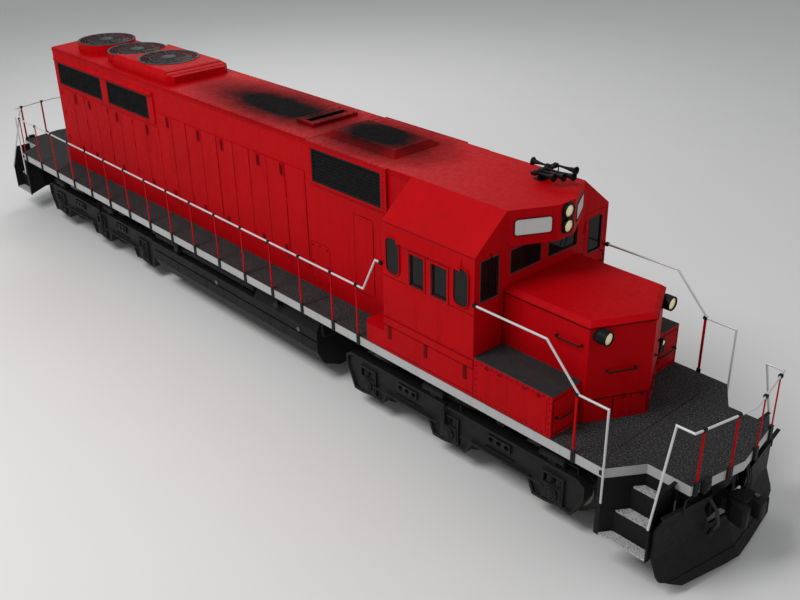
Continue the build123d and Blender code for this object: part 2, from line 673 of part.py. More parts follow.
def make_fans():
    # Top of each fan's surround, and the radius that its guard covers.
    tops = (ROOF_Z + DRUM_H, ROOF_Z + DRUM_H, ROOF_Z + HATCH_H)
    covers = (DRUM_R, DRUM_R, FAN_R + 45.0)
    drums = [
        Pos(x, 0, ROOF_Z) * extrude(Circle(DRUM_R) - Circle(DRUM_R - DRUM_T), DRUM_H)
        for x in FAN_X[:2]
    ]
    add("fan_drums", drums)

    guards = []
    for x, top, outer in zip(FAN_X, tops, covers):
        rim = RegularPolygon(outer, GUARD_SIDES) - RegularPolygon(outer - 45, GUARD_SIDES)
        middle = RegularPolygon(0.62 * outer, GUARD_SIDES) - RegularPolygon(0.62 * outer - 12, GUARD_SIDES)
        guard = extrude(rim, GUARD_T) + extrude(middle, GUARD_T)
        guard += disc(0, 0, 0, MOTOR_CAP_R, GUARD_T)
        for k in range(SPOKES):
            guard += Rot(0, 0, 180 * k / SPOKES) * block(10 - outer, outer - 10, -7, 7, 0, GUARD_T)
        # The fan's motor hangs from the guard.
        guard += disc(0, 0, -FAN_MOTOR_H, FAN_MOTOR_R, FAN_MOTOR_H + 1)
        guards.append(Pos(x, 0, top) * guard)
    add("fan_guards", guards)

    for index, (x, top) in enumerate(zip(FAN_X, tops), start=1):
        z = top - FAN_MOTOR_H - RUNNING_GAP - FAN_H
        fan = disc(0, 0, 0, FAN_HUB_R, FAN_H)
        for k in range(BLADES):
            blade = Pos(FAN_HUB_R - 30, 0, 0) * Rot(BLADE_TILT, 0, 0) * block(
                0, FAN_R - FAN_HUB_R + 20, -BLADE_W / 2, BLADE_W / 2, -BLADE_T / 2, BLADE_T / 2,
            )
            fan += Pos(0, 0, FAN_H / 2) * Rot(0, 0, 360 * k / BLADES) * blade
        add(f"radiator_fan_{index}", Pos(x, 0, z) * fan)


# Half section of the engine and its generator's bed.  columns: y, z
ENGINE_SECTION = ((430.0, DECK_Z), (430.0, 2250.0), (700.0, 2750.0), (700.0, 3100.0), (420.0, 3500.0))
ENGINE_X0, ENGINE_X1 = -2900.0, 2300.0


def make_engine():
    left = list(ENGINE_SECTION)
    add("engine_block", prism_x(left + [(-y, z) for y, z in reversed(left)], ENGINE_X0, ENGINE_X1))


# ---- Cab ----
CAB_SIDE = DECK_HALF_W
# Side windows.  columns: x0, x1
SIDE_PANES = ((5342.0, 5660.0), (5813.0, 6146.0))
PANE_Z0, PANE_Z1 = 3035.0, 3560.0
RIM_W_GLASS = 32.0         # raised rims round the windows
RIM_T = 12.0
# Wind deflectors beside the windows.  columns: x of the middle, z of the middle
DEFLECTORS = ((4985.0, 3400.0), (6440.0, 3390.0))
DEFLECTOR_W, DEFLECTOR_H, DEFLECTOR_R = 310.0, 620.0, 120.0
DEFLECTOR_T = 26.0
VISOR_X0, VISOR_X1 = 5075.0, 6430.0
VISOR_TOP, VISOR_LOW, VISOR_T = 3845.0, 3640.0, 9.0
VISOR_OUT = 30.0
BELT_Z0, BELT_Z1 = 2138.0, 2280.0
BELT_T = 10.0
CAB_DOOR_Z0, CAB_DOOR_Z1 = 2345.0, 3860.0
DOOR_Y0, DOOR_Y1 = 935.0, 1445.0
CAB_DOOR_T = 45.0
END_PANE_Y0, END_PANE_Y1 = 1000.0, 1385.0
END_PANE_Z0, END_PANE_Z1 = 3175.0, 3820.0
LEAF_PANE = (1050.0, 1360.0, 3175.0, 3760.0)       # y0, y1, z0, z1
CENTRE_PANE = (85.0, 760.0, 3420.0, 3800.0)        # y0, y1, z0, z1
GLASS_T = 12.0
GLASS_SET = 30.0           # how far the glass stands in from a wall's face


def cab_section(inset=0.0):
    """Cross section of the cab; the sloping sides of its roof keep their wall's thickness."""
    w = CAB_SIDE - inset
    flat = ROOF_FLAT_Y - inset * 0.35
    eave = CAB_EAVE_Z - inset * 0.35
    top = ROOF_Z - inset
    return [(-w, DECK_Z), (w, DECK_Z), (w, eave), (flat, top), (-flat, top), (-w, eave)]


def cab_knuckle(x, side, z0, z1, outward):
    """A hinge barrel of a cab door; side is 1 at the front left doorway and -1 at the rear right one."""
    axis_x = x + side * (HINGE_R + SEAT_GAP)
    axis_y = side * (DOOR_Y0 + DOOR_GAP)
    strap_x = sorted((x, x + side * HINGE_R))
    strap_y = sorted((axis_y, axis_y + side * 45 * outward))
    barrel = disc(axis_x, axis_y, z0, HINGE_R, z1 - z0)
    return barrel + block(strap_x[0], strap_x[1], strap_y[0], strap_y[1], z0, z1)


def framed(x0, x1, z0, z1):
    """A raised rim round an opening in the cab's left side."""
    w = RIM_W_GLASS
    return block(x0 - w, x1 + w, CAB_SIDE - 1, CAB_SIDE + RIM_T, z0 - w, z1 + w)


def deflector_outline(x, z, inset=0.0):
    """Plan of a wind deflector with rounded corners, in x and z."""
    half_w, half_h = DEFLECTOR_W / 2 - inset, DEFLECTOR_H / 2 - inset
    return Pos(x, z) * RectangleRounded(2 * half_w, 2 * half_h, DEFLECTOR_R - inset)


def make_cab():
    wall = CAB_WALL
    shell = prism_x(cab_section(), CAB_REAR_X, CAB_FRONT_X)
    bow = [
        (CAB_FRONT_X - wall, ROOF_FLAT_Y), (CAB_FRONT_X, ROOF_FLAT_Y), (BOW_X, BOW_HALF_W),
        (BOW_X, -BOW_HALF_W), (CAB_FRONT_X, -ROOF_FLAT_Y), (CAB_FRONT_X - wall, -ROOF_FLAT_Y),
    ]
    shell += prism_z(bow, BOW_Z, ROOF_Z)
    w = CAB_SIDE - wall
    x0, x1 = CAB_REAR_X + wall, CAB_FRONT_X - wall
    shell -= prism_x([(-w, CAB_FLOOR_Z), (w, CAB_FLOOR_Z)] + cab_section(wall)[2:], x0, x1)
    shell -= block(x0, x1, -w, w, DECK_Z, CAB_FLOOR_Z - wall)

    # Trim that stands proud of the side.
    trim = [block(CAB_REAR_X, CAB_FRONT_X, CAB_SIDE - 1, CAB_SIDE + BELT_T, BELT_Z0, BELT_Z1)]
    trim.append(prism_x([
        (CAB_SIDE, VISOR_TOP), (CAB_SIDE + VISOR_OUT, VISOR_LOW), (CAB_SIDE + VISOR_OUT - VISOR_T, VISOR_LOW),
        (CAB_SIDE, VISOR_TOP - 2 * RIM_W_GLASS),
    ], VISOR_X0, VISOR_X1))
    trim += [framed(x0, x1, PANE_Z0, PANE_Z1) for x0, x1 in SIDE_PANES]
    for x, z in DEFLECTORS:
        ring = deflector_outline(x, z) - deflector_outline(x, z, RIM_T)
        trim.append(prism_y(ring, CAB_SIDE - 1, CAB_SIDE + DEFLECTOR_T))
    for piece in both_sides(*trim):
        shell += piece

    pane_y = (w - 1, CAB_SIDE + RIM_T + 1)
    openings = both_sides(*[block(x0, x1, *pane_y, PANE_Z0, PANE_Z1) for x0, x1 in SIDE_PANES])
    front = (CAB_FRONT_X - wall - 1, CAB_FRONT_X + 1)
    rear = (CAB_REAR_X - 1, CAB_REAR_X + wall + 1)
    openings += both_sides(block(*front, *CENTRE_PANE))
    openings.append(block(*front, -END_PANE_Y1, -END_PANE_Y0, END_PANE_Z0, END_PANE_Z1))
    openings.append(block(*rear, END_PANE_Y0, END_PANE_Y1, END_PANE_Z0, END_PANE_Z1))
    # Doorways: front left over the battery box, rear right over the step box.
    openings.append(block(*front, DOOR_Y0, DOOR_Y1, CAB_DOOR_Z0, CAB_DOOR_Z1))
    openings.append(block(*rear, -DOOR_Y1, -DOOR_Y0, CAB_DOOR_Z0, CAB_DOOR_Z1))
    for opening in openings:
        shell -= opening
    for x, side in ((CAB_FRONT_X, 1), (CAB_REAR_X, -1)):
        for z in (CAB_DOOR_Z0 + 200, CAB_DOOR_Z1 - 200):
            shell += cab_knuckle(x, side, z - 2 * HINGE_L, z - HINGE_L - SEAT_GAP, -1)
    add("cab_shell", shell)


def make_cab_glass():
    glass = []
    for x0, x1 in SIDE_PANES:
        y = CAB_SIDE - GLASS_SET
        glass += both_sides(block(x0, x1, y - GLASS_T, y, PANE_Z0, PANE_Z1))
    for x, z in DEFLECTORS:
        pane = prism_y(deflector_outline(x, z, RIM_T), CAB_SIDE, CAB_SIDE + GLASS_T)
        glass += both_sides(pane)
    front_x = CAB_FRONT_X - GLASS_SET
    glass += both_sides(block(front_x - GLASS_T, front_x, *CENTRE_PANE))
    glass.append(block(front_x - GLASS_T, front_x, -END_PANE_Y1, -END_PANE_Y0, END_PANE_Z0, END_PANE_Z1))
    rear_x = CAB_REAR_X + GLASS_SET
    glass.append(block(rear_x, rear_x + GLASS_T, END_PANE_Y0, END_PANE_Y1, END_PANE_Z0, END_PANE_Z1))
    add("cab_glass", glass)


def make_cab_doors():
    """Each leaf stands clear of its doorway all round; its hinge is on the hood side."""
    # columns: name, x of the leaf's rear face, side, x of the face that carries the hinge
    doors = (
        ("cab_door_front", CAB_FRONT_X - CAB_DOOR_T, 1, CAB_FRONT_X),
        ("cab_door_rear", CAB_REAR_X, -1, CAB_REAR_X),
    )
    for name, x0, side, face_x in doors:
        x1 = x0 + CAB_DOOR_T
        leaf = block(
            x0, x1,
            DOOR_Y0 + DOOR_GAP, DOOR_Y1 - DOOR_GAP,
            CAB_DOOR_Z0 + DOOR_GAP, CAB_DOOR_Z1 - DOOR_GAP,
        )
        leaf -= block(x0 - 1, x1 + 1, *LEAF_PANE)
        pane = block(x0 + 18, x0 + 26, *LEAF_PANE)
        if side < 0:
            leaf, pane = mirror(leaf, Plane.XZ), mirror(pane, Plane.XZ)
        for z in (CAB_DOOR_Z0 + 200, CAB_DOOR_Z1 - 200):
            leaf += cab_knuckle(face_x, side, z - HINGE_L, z + HINGE_L, 1)
        add(name, leaf)
        add(f"{name}_glass", pane)


SEAT_X, SEAT_Y = 5640.0, 950.0
SEAT_HALF_W = 230.0
SEAT_R = 35.0
SEAT_Z = CAB_FLOOR_Z + 430.0


DESK_X = 6500.0
DESK_Y0, DESK_Y1 = 350.0, 800.0
# Section of the control stand.  columns: x from its front, z from the cab's floor
DESK_SECTION = ((0, 0), (0, 1050), (-300, 1050), (-460, 900), (-460, 720), (-300, 660), (-300, 0))


def make_cab_interior():
    w, y = SEAT_HALF_W, SEAT_Y
    cushion = [(SEAT_X + x, SEAT_Z + z) for x, z in ((-190, 0), (260, 0), (260, 90), (-190, 110))]
    back = [(SEAT_X + x, SEAT_Z + z) for x, z in ((-190, 0), (-100, 0), (-160, 640), (-270, 640))]
    cushion = prism_y(outlined(cushion, SEAT_R, rounded=(2,)), y - w, y + w)
    back = prism_y(outlined(back, SEAT_R, rounded=(2, 3)), y - w, y + w)
    seat = cushion + back + disc(SEAT_X + 40, y, CAB_FLOOR_Z, 45, SEAT_Z - CAB_FLOOR_Z + 10)
    seat += disc(SEAT_X + 40, y, CAB_FLOOR_Z, 160, 20)
    add("cab_seats", both_sides(seat))
    # Control stand with a sloping desk, beside the engineer's seat.
    desk = [(DESK_X + x, CAB_FLOOR_Z + z) for x, z in DESK_SECTION]
    add("control_stand", prism_y(desk, -DESK_Y1, -DESK_Y0))


# ---- Short hood and the boxes beside it ----
NOSE_LIP = 12.0            # the short hood's roof overhangs by this
STEP_BOX_X = 4190.0        # rear end of the step boxes behind the cab
STEP_BOX_Z = 1985.0
HATCH_Z0, HATCH_Z1 = 1735.0, 1985.0
HATCH_SPAN = (60.0, 430.0)  # from and to, along the front faces from the short hood's middle edge


def nose_outline(grow=0.0):
    w, corner_x = HOOD_HALF_W + grow, NOSE_X + grow / 2
    return [(CAB_FRONT_X, w), (CAB_FRONT_X, -w), (corner_x, -w), (NOSE_APEX_X + grow, 0), (corner_x, w)]


def nose_body():
    """The short hood: body, overhanging cap with slanting edges, and two low hatches."""
    cap_z = NOSE_Z - NOSE_CHAMFER
    nose = prism_z(nose_outline(), DECK_Z, cap_z)
    foot = prism_z(nose_outline(NOSE_LIP), cap_z - 1, cap_z + 12)
    crown = loft([
        Plane.XY.offset(cap_z + 11) * outlined(nose_outline(NOSE_LIP)),
        Plane.XY.offset(NOSE_Z) * outlined(nose_outline(-NOSE_CHAMFER)),
    ])
    nose += foot + crown
    # Two low hatches on the front faces, one each side of the middle edge.
    turn = degrees(atan2(HOOD_HALF_W, NOSE_APEX_X - NOSE_X))
    hatch = block(*HATCH_SPAN, -PANEL_T, PANEL_T, HATCH_Z0, HATCH_Z1)
    hatch = Pos(NOSE_APEX_X, 0, 0) * Rot(0, 0, 180 - turn) * hatch
    for piece in both_sides(hatch):
        nose += piece
    return nose


def make_nose(nose):
    add("short_hood", nose)
    out_y = DECK_HALF_W - BOX_EDGE
    tread_z = BOX_Z - TREAD_T
    box = block(CAB_FRONT_X, BOX_X, HOOD_HALF_W, out_y, DECK_Z, tread_z)
    door = block(CAB_FRONT_X + 90, BOX_X - 90, out_y - 1, out_y + BOX_EDGE, DECK_Z + 60, tread_z - 60)
    add("box_treads", both_sides(block(CAB_FRONT_X, BOX_X, HOOD_HALF_W, out_y, tread_z, BOX_Z)))
    step = prism_z([
        (STEP_BOX_X + 100, out_y), (CAB_REAR_X, out_y), (CAB_REAR_X, DOOR_Y0 - BOX_EDGE),
        (STEP_BOX_X, DOOR_Y0 - BOX_EDGE), (STEP_BOX_X, out_y - 100),
    ], DECK_Z, STEP_BOX_Z)
    add("walkway_boxes", both_sides(box + door, step))


# ---- Handrails ----
# Kinks of the side rails.  columns: x, z
REAR_KINKS = ((4250.0, RAIL_Z), (4569.0, UPPER_RAIL_Z))
FRONT_KINKS = ((8035.0, UPPER_RAIL_Z), (8625.0, RAIL_Z))
# Posts of the end rails.  columns: x, y
END_POSTS = ((10143.0, CORNER_Y - 74.0), (10268.0, 320.0))
END_BEND = (10108.0, CORNER_Y + 85.0)
NOSE_POST_X = 8590.0


def make_handrails():
    rail_y = DECK_HALF_W + RAIL_OUT
    # A leg stands against the corner of the sill.
    leg_x = SIDE_X + (RAIL_R ** 2 - RAIL_OUT ** 2) ** 0.5
    upper = [(x, rail_y, z) for x, z in REAR_KINKS]
    lower = [(x, rail_y, z) for x, z in FRONT_KINKS]
    rear_leg = [(-leg_x, rail_y, RAIL_FOOT_Z), (-leg_x, rail_y, RAIL_Z)]
    front_leg = [(leg_x, rail_y, RAIL_Z), (leg_x, rail_y, RAIL_FOOT_Z)]
    side = pipe([*rear_leg, *upper, (CAB_REAR_X, rail_y, UPPER_RAIL_Z)], RAIL_R)
    front = pipe([(CAB_FRONT_X, rail_y, UPPER_RAIL_Z), *lower, *front_leg], RAIL_R)
    # The leaning leg lies against the slanting edge of its plate.
    beside = RAIL_R * (1 + LEG_LEAN ** 2) ** 0.5
    foot = (STEP_END_X + STEP_PLATE_T / 2, DECK_HALF_W + beside, RAIL_FOOT_Z)
    corner = (END_CORNER[0], END_CORNER[1] + beside, END_RAIL_Z)
    left = [foot, corner] + [(x, y, END_RAIL_Z) for x, y in (END_BEND,) + END_POSTS]
    middle = (END_POSTS[1][0] + END_POSTS[1][1] * (APEX_X - CORNER_X) / CORNER_Y, 0, END_RAIL_Z)
    right = [(x, -y, z) for x, y, z in reversed(left)]
    end = pipe(left + [middle] + right, RAIL_R)
    add("handrails", both_sides(*side, *front), both_ends(*end))


def side_post(x):
    """A flat stanchion against the left edge, with its bracket on the sill."""
    y = DECK_HALF_W
    bracket = block(x - SHOE_W / 2, x + SHOE_W / 2, y, y + SHOE_T, SILL_Z, DECK_Z + 45)
    return bracket + block(
        x - POST_W / 2, x + POST_W / 2,
        y + SHOE_T - POST_T, y + SHOE_T,
        DECK_Z, RAIL_Z - RAIL_R,
    )


def end_post(x, y):
    """A flat stanchion against the slanting edge of the front left end, with its bracket."""
    turn = degrees(atan2(APEX_X - CORNER_X, CORNER_Y))
    edge_x = APEX_X - y * (APEX_X - CORNER_X) / CORNER_Y
    near = x - edge_x - POST_T / 2
    bracket = block(0, near + POST_T, -SHOE_W / 2, SHOE_W / 2, SILL_Z, DECK_Z + 45)
    upright = block(near, near + POST_T, -POST_W / 2, POST_W / 2, DECK_Z, END_RAIL_Z - RAIL_R)
    return Pos(edge_x, y, 0) * Rot(0, 0, turn) * (bracket + upright)


def make_posts():
    rows = [POST_FIRST_X + i * POST_PITCH for i in range(POST_COUNT)] + [NOSE_POST_X]
    posts = both_sides(*[side_post(x) for x in rows])
    posts += four_ways(*[end_post(x, y) for x, y in END_POSTS])
    # Feet that hold the rails' legs.
    leg_x = SIDE_X + (RAIL_R ** 2 - RAIL_OUT ** 2) ** 0.5 - RAIL_R
    for z in (RAIL_FOOT_Z + 20, SILL_Z + 50):
        posts += four_ways(block(leg_x - 45, leg_x, DECK_HALF_W, DECK_HALF_W + SHOE_T, z, z + 60))
    add("handrail_posts", posts)


# ---- Lamps, horn and number boards ----
HEADLIGHT_Z = (4080.0, 4315.0)
LAMP_R = 112.0
LAMP_L = 48.0
LENS_R = 88.0
LENS_SET = 16.0            # how far a lens sits inside its rim
BEZEL_HALF_W, BEZEL_R, BEZEL_T = 124.0, 110.0, 12.0
DITCH_X, DITCH_Y, DITCH_Z = 8480.0, 740.0, 3060.0
DITCH_L = 230.0
HORN_X, HORN_Y, HORN_Z = 6180.0, 520.0, ROOF_Z + 150.0
BELL_R = 62.0
# Bells of the horn.  columns: y from the middle, length, way along X
HORN_BELLS = ((-230.0, 380.0, 1), (-115.0, 470.0, 1), (0.0, 560.0, 1), (115.0, 330.0, -1), (230.0, 420.0, 1))
BOARD_W, BOARD_H, BOARD_T = 560.0, 240.0, 12.0
BOARD_Z = 4170.0
BOARD_R = 45.0


def lamp_can(x, y, z, length):
    """A round lamp facing forward, open in front for its lens; x is at its rim."""
    can = turned_x([
        (-length, 0), (-length, 0.8 * LAMP_R), (-0.6 * length, LAMP_R), (0, LAMP_R),
        (0, LENS_R), (-LENS_SET - 14, LENS_R), (-LENS_SET - 14, 0),
    ])
    return Pos(x, y, z) * can


def lens(x, y, z):
    """A shallow domed lens that fills the front of a lamp."""
    r = LENS_R
    dome = turned_x([(-LENS_SET - 14, 0), (-LENS_SET - 14, r), (-LENS_SET, r), (-8, 0.6 * r), (-4, 0)])
    return Pos(x, y, z) * dome


def make_lamps(nose):
    w, z0, z1 = BEZEL_HALF_W, HEADLIGHT_Z[0] - BEZEL_HALF_W, HEADLIGHT_Z[1] + BEZEL_HALF_W
    bezel = outlined([(-w, z0), (w, z0), (w, z1), (-w, z1)], BEZEL_R, rounded=(0, 1, 2, 3))
    plate = prism_x(bezel, BOW_X, BOW_X + BEZEL_T)
    for z in HEADLIGHT_Z:
        plate += lamp_can(BOW_X + LAMP_L, 0, z, LAMP_L)
    ditch = []
    for y in (-DITCH_Y, DITCH_Y):
        can = lamp_can(DITCH_X, y, DITCH_Z, DITCH_L)
        ditch.append(can - nose)
    add("lamp_housings", plate, ditch)
    lenses = [lens(BOW_X + LAMP_L, 0, z) for z in HEADLIGHT_Z]
    lenses += [lens(DITCH_X, y, DITCH_Z) for y in (-DITCH_Y, DITCH_Y)]
    add("lamp_lenses", lenses)


def horn_bell(length):
    """A trumpet along +X with its mouth at the far end."""
    r = BELL_R
    return turned_x([
        (0, 0), (0, 34), (60, 34), (70, 15), (0.55 * length, 22), (0.85 * length, 38), (length, r),
        (length - 4, r - 7), (0.84 * length, 0),
    ])


def make_horn():
    manifold = block(-45, 45, -270, 270, -45, 0) + block(-60, 60, -60, 60, ROOF_Z - HORN_Z, -40)
    horn = manifold
    for y, length, way in HORN_BELLS:
        bell = horn_bell(length)
        horn += Pos(0, y, 0) * (bell if way > 0 else Rot(0, 0, 180) * bell)
    add("horn", Pos(HORN_X, HORN_Y, HORN_Z) * horn)


def make_number_boards():
    """A board with rounded corners on each slanting face of the roof bow."""
    span_x, span_y = BOW_X - CAB_FRONT_X, ROOF_FLAT_Y - BOW_HALF_W
    w, h = BOARD_W / 2, BOARD_H / 2
    face = outlined([(-w, -h), (w, -h), (w, h), (-w, h)], BOARD_R, rounded=(0, 1, 2, 3))
    board = prism_x(face, 0, BOARD_T)
    middle = ((CAB_FRONT_X + BOW_X) / 2, (ROOF_FLAT_Y + BOW_HALF_W) / 2, BOARD_Z)
    board = Pos(*middle) * Rot(0, 0, degrees(atan2(span_x, span_y))) * board
    add("number_boards", both_sides(board))


# ---- Couplers ----
SHANK_HALF_W, SHANK_HALF_H = 90.0, 80.0
HEAD_HALF_H = 150.0
HEAD_R = 28.0
# Plan of the coupler's head.  columns: x from the face, y
HEAD_PLAN = (
    (-430.0, -110.0), (-300.0, -215.0), (-100.0, -255.0), (-45.0, -235.0), (-75.0, -120.0),
    (-190.0, -60.0), (-190.0, 70.0), (-120.0, 90.0), (-120.0, 225.0), (-290.0, 245.0), (-430.0, 110.0),
)
KNUCKLE_PLAN = (
    (-200.0, 95.0), (-60.0, 60.0), (-20.0, 60.0), (0.0, 95.0), (0.0, 190.0), (-60.0, 235.0), (-140.0, 240.0),
)
KNUCKLE_HALF_H = 135.0


def make_couplers():
    head_x = COUPLER_FACE_X
    shank = block(
        COUPLER_PIN_X - SHANK_HALF_W, head_x - 380,
        -SHANK_HALF_W, SHANK_HALF_W,
        COUPLER_Z - SHANK_HALF_H, COUPLER_Z + SHANK_HALF_H,
    )
    shank -= disc(COUPLER_PIN_X, 0, COUPLER_Z - 100, COUPLER_PIN_R + RUNNING_GAP, 200)
    plan = [(head_x + x, y) for x, y in HEAD_PLAN]
    head = outlined(plan, HEAD_R, rounded=(1, 2, 8, 9))
    head = prism_z(head, COUPLER_Z - HEAD_HALF_H, COUPLER_Z + HEAD_HALF_H)
    plan = [(head_x + x, y) for x, y in KNUCKLE_PLAN]
    hook = outlined(plan, HEAD_R, rounded=(3, 4, 5))
    hook = prism_z(hook, COUPLER_Z - KNUCKLE_HALF_H, COUPLER_Z + KNUCKLE_HALF_H)
    coupler = shank + head + hook
    add("coupler_front", coupler)
    add("coupler_rear", Rot(0, 0, 180) * coupler)


# ---- Running gear ----
AXLE_Z = WHEEL_R + FLANGE_H
AXLES = (OUTER_AXLE, MIDDLE_AXLE, INNER_AXLE)
# The side frame's lower edge round each axle.  columns: x from the axle, z
PEDESTAL = (
    (-480.0, 555.0), (-372.0, PEDESTAL_Z - 12), (-150.0, PEDESTAL_Z - 12),
    (150.0, PEDESTAL_Z + 38), (360.0, PEDESTAL_Z), (495.0, 555.0),
)
FRAME_END = 568.0          # how far a side frame reaches past the outer axles
FRAME_END_Z0, FRAME_END_Z1 = 700.0, 930.0
JAW_RIM = 32.0
HOLE_R = 48.0
HOLE_PITCH = 158.0
HOLE_Z = 845.0
SLOT_HALF_L = 300.0
SLOT_Z0, SLOT_Z1 = 636.0, 676.0
BOWL_R = 300.0
BOWL_Z0, BOWL_Z1 = 880.0, 1120.0
TRANSOM_Z0, TRANSOM_Z1 = 780.0, 960.0
TRANSOM_HALF_L = 150.0
SPRING_R = 62.0
SPRING_X = 88.0            # coil springs stand this far from the axle
BOX_TOP_Z = AXLE_Z + 130.0
COVER_R = 118.0
# Brake cylinders on each side frame.  columns: x from the swivel centre
BRAKE_X = (1990.0, -475.0)
BRAKE_L = 420.0
# Traction motors.  columns: axle, side of it
MOTORS = ((OUTER_AXLE, -1), (MIDDLE_AXLE, -1), (INNER_AXLE, 1))
MOTOR_GAP = 16.0
MOTOR_Z = 575.0


def make_wheelset(name, x):
    inner = BACK_TO_BACK / 2
    outer = inner + WHEEL_W
    r, tip = WHEEL_R, WHEEL_R + FLANGE_H
    # Half section of a wheel.  columns: radius, y
    section = [
        (0, inner), (tip - 8, inner), (tip, inner + 14), (tip - 6, inner + 26), (r, inner + 36),
        (r - 6, outer), (r - 75, outer), (r - 95, inner + 75),
        (215, inner + 70), (180, outer + 10), (0, outer + 10),
    ]
    wheel = revolve(outlined(section), Axis.Y)
    body = bar_y(0, -AXLE_HALF_L, AXLE_HALF_L, 0, AXLE_R)
    for side in both_sides(wheel):
        body += side
    add(name, Pos(x, 0, AXLE_Z) * body)


def side_frame():
    """The left side frame of a bogie: a casting with a raised rim, pedestals, slots and three holes."""
    end_x = OUTER_AXLE + FRAME_END
    rear_x = INNER_AXLE - FRAME_END
    outline = [(end_x, FRAME_END_Z0), (end_x, FRAME_END_Z1), (end_x - 140, CHORD_Z)]
    outline += [(rear_x + 140, CHORD_Z), (rear_x, FRAME_END_Z1), (rear_x, FRAME_END_Z0)]
    for axle in reversed(AXLES):
        outline += [(axle + x, z) for x, z in PEDESTAL]
    plate = outlined(outline)
    jaws = [Pos(axle, (JAW_Z + JAW_TOP_Z) / 2) * Rectangle(2 * JAW, JAW_TOP_Z - JAW_Z) for axle in AXLES]
    middles = [(a + b) / 2 for a, b in zip(AXLES, AXLES[1:])]
    slots = [Pos(x, (SLOT_Z0 + SLOT_Z1) / 2) * Rectangle(2 * SLOT_HALF_L, SLOT_Z1 - SLOT_Z0) for x in middles]
    holes = [Pos(x + k * HOLE_PITCH, HOLE_Z) * Circle(HOLE_R) for x in middles for k in (-1, 0, 1)]
    for cut in jaws + slots + holes:
        plate -= cut
    web = offset(outlined(outline), -RIM_W, kind=Kind.INTERSECTION)
    for axle in AXLES:
        jaw_rim = Rectangle(2 * (JAW + JAW_RIM), JAW_TOP_Z - JAW_Z + 2 * JAW_RIM)
        web -= Pos(axle, (JAW_Z + JAW_TOP_Z) / 2) * jaw_rim
    for x in middles:
        web -= Pos(x, HOLE_Z) * Rectangle(2 * (HOLE_PITCH + HOLE_R + 24), 2 * (HOLE_R + 24))
    outer_y = SIDE_FRAME_Y + SIDE_FRAME_T
    casting = prism_y(plate, SIDE_FRAME_Y, outer_y)
    casting -= prism_y(web, outer_y - WEB_INSET, outer_y + 1)
    y = SIDE_FRAME_Y + SIDE_FRAME_T / 2
    for x in BRAKE_X:
        casting += bar_x(x - BRAKE_L / 2, x + BRAKE_L / 2, y, CHORD_Z + BRAKE_R + 12, BRAKE_R)
        casting += block(x - 70, x + 70, y - 70, y + 70, CHORD_Z - 1, CHORD_Z + BRAKE_R)
    return casting


def journal_box(axle):
    """The left journal box of an axle, with the feet of its two coil springs and a round end cover."""
    box = block(axle - JAW, axle + JAW, SIDE_FRAME_Y, SIDE_FRAME_Y + SIDE_FRAME_T + 10, JAW_Z, BOX_TOP_Z)
    box += bar_y(axle, SIDE_FRAME_Y, JOURNAL_Y, AXLE_Z, COVER_R)
    for x in (axle - SPRING_X, axle + SPRING_X):
        box += disc(x, SIDE_FRAME_Y + SIDE_FRAME_T / 2, BOX_TOP_Z - 1, SPRING_R, JAW_TOP_Z - BOX_TOP_Z + 1)
    return box - bar_y(axle, 0, AXLE_HALF_L + 10, AXLE_Z, AXLE_R + RUNNING_GAP)


def make_bogie(tag, x, turn):
    """One three-axle bogie; turn is 1 for the front bogie and -1 for the rear one, turned end for end."""
    frame = side_frame()
    frame += mirror(frame, Plane.XZ)
    middles = [(a + b) / 2 for a, b in zip(AXLES, AXLES[1:])]
    for middle in middles:
        frame += block(
            middle - TRANSOM_HALF_L, middle + TRANSOM_HALF_L,
            -SIDE_FRAME_Y - 1, SIDE_FRAME_Y + 1,
            TRANSOM_Z0, TRANSOM_Z1,
        )
    frame += block(middles[1], middles[0], -130, 130, BOWL_Z0, TRANSOM_Z1)
    frame += disc(0, 0, BOWL_Z0, BOWL_R, BOWL_Z1 - BOWL_Z0)
    for axle, side in MOTORS:
        motor_x = axle + side * (MOTOR_R + AXLE_R + MOTOR_GAP)
        nearest = min(middles, key=lambda middle: abs(middle - motor_x))
        frame += bar_y(motor_x, -MOTOR_HALF_W, MOTOR_HALF_W, MOTOR_Z, MOTOR_R)
        frame += block(*sorted((motor_x, nearest)), -150, 150, TRANSOM_Z0, TRANSOM_Z0 + 90)
    frame -= disc(0, 0, PIVOT_Z, PIVOT_R + 5, BOWL_Z1)
    boxes = both_sides(*[journal_box(axle) for axle in AXLES])
    place = Pos(x, 0, 0) * Rot(0, 0, 0 if turn > 0 else 180)
    add(f"bogie_frame_{tag}", place * frame)
    add(f"journal_boxes_{tag}", [place * box for box in boxes])
    for number, axle in enumerate(AXLES, start=1):
        make_wheelset(f"wheelset_{tag}_{number}", x + turn * axle)


def main():
    make_deck()
    make_underframe()
    make_draft_pockets()
    make_steps()
    make_pilots()
    make_tank()
    make_hood_sides()
    make_hood_ends()
    make_hood_doors()
    make_grilles()
    make_hatches()
    make_fans()
    make_engine()
    make_cab()
    make_cab_glass()
    make_cab_doors()
    make_cab_interior()
    nose = nose_body()
    make_nose(nose)
    make_handrails()
    make_posts()
    make_lamps(nose)
    make_horn()
    make_number_boards()
    make_couplers()
    make_bogie("front", BOGIE_FRONT_X, 1)
    make_bogie("rear", BOGIE_REAR_X, -1)
    for name, shape in PARTS.items():
        export_step(shape, f"parts/{name}.step")


main()
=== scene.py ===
"""Dresses the six-axle diesel locomotive: finishes, fittings, studio and camera.

Metres, +X to the short hood, +Y to the left, +Z up.
"""

import logging
import math
from collections import defaultdict
from dataclasses import dataclass, field
from enum import Enum
from functools import cache
from typing import Callable, ClassVar, Iterator, Optional, Sequence, Union

import bmesh
import bpy
from mathutils import Matrix, Vector


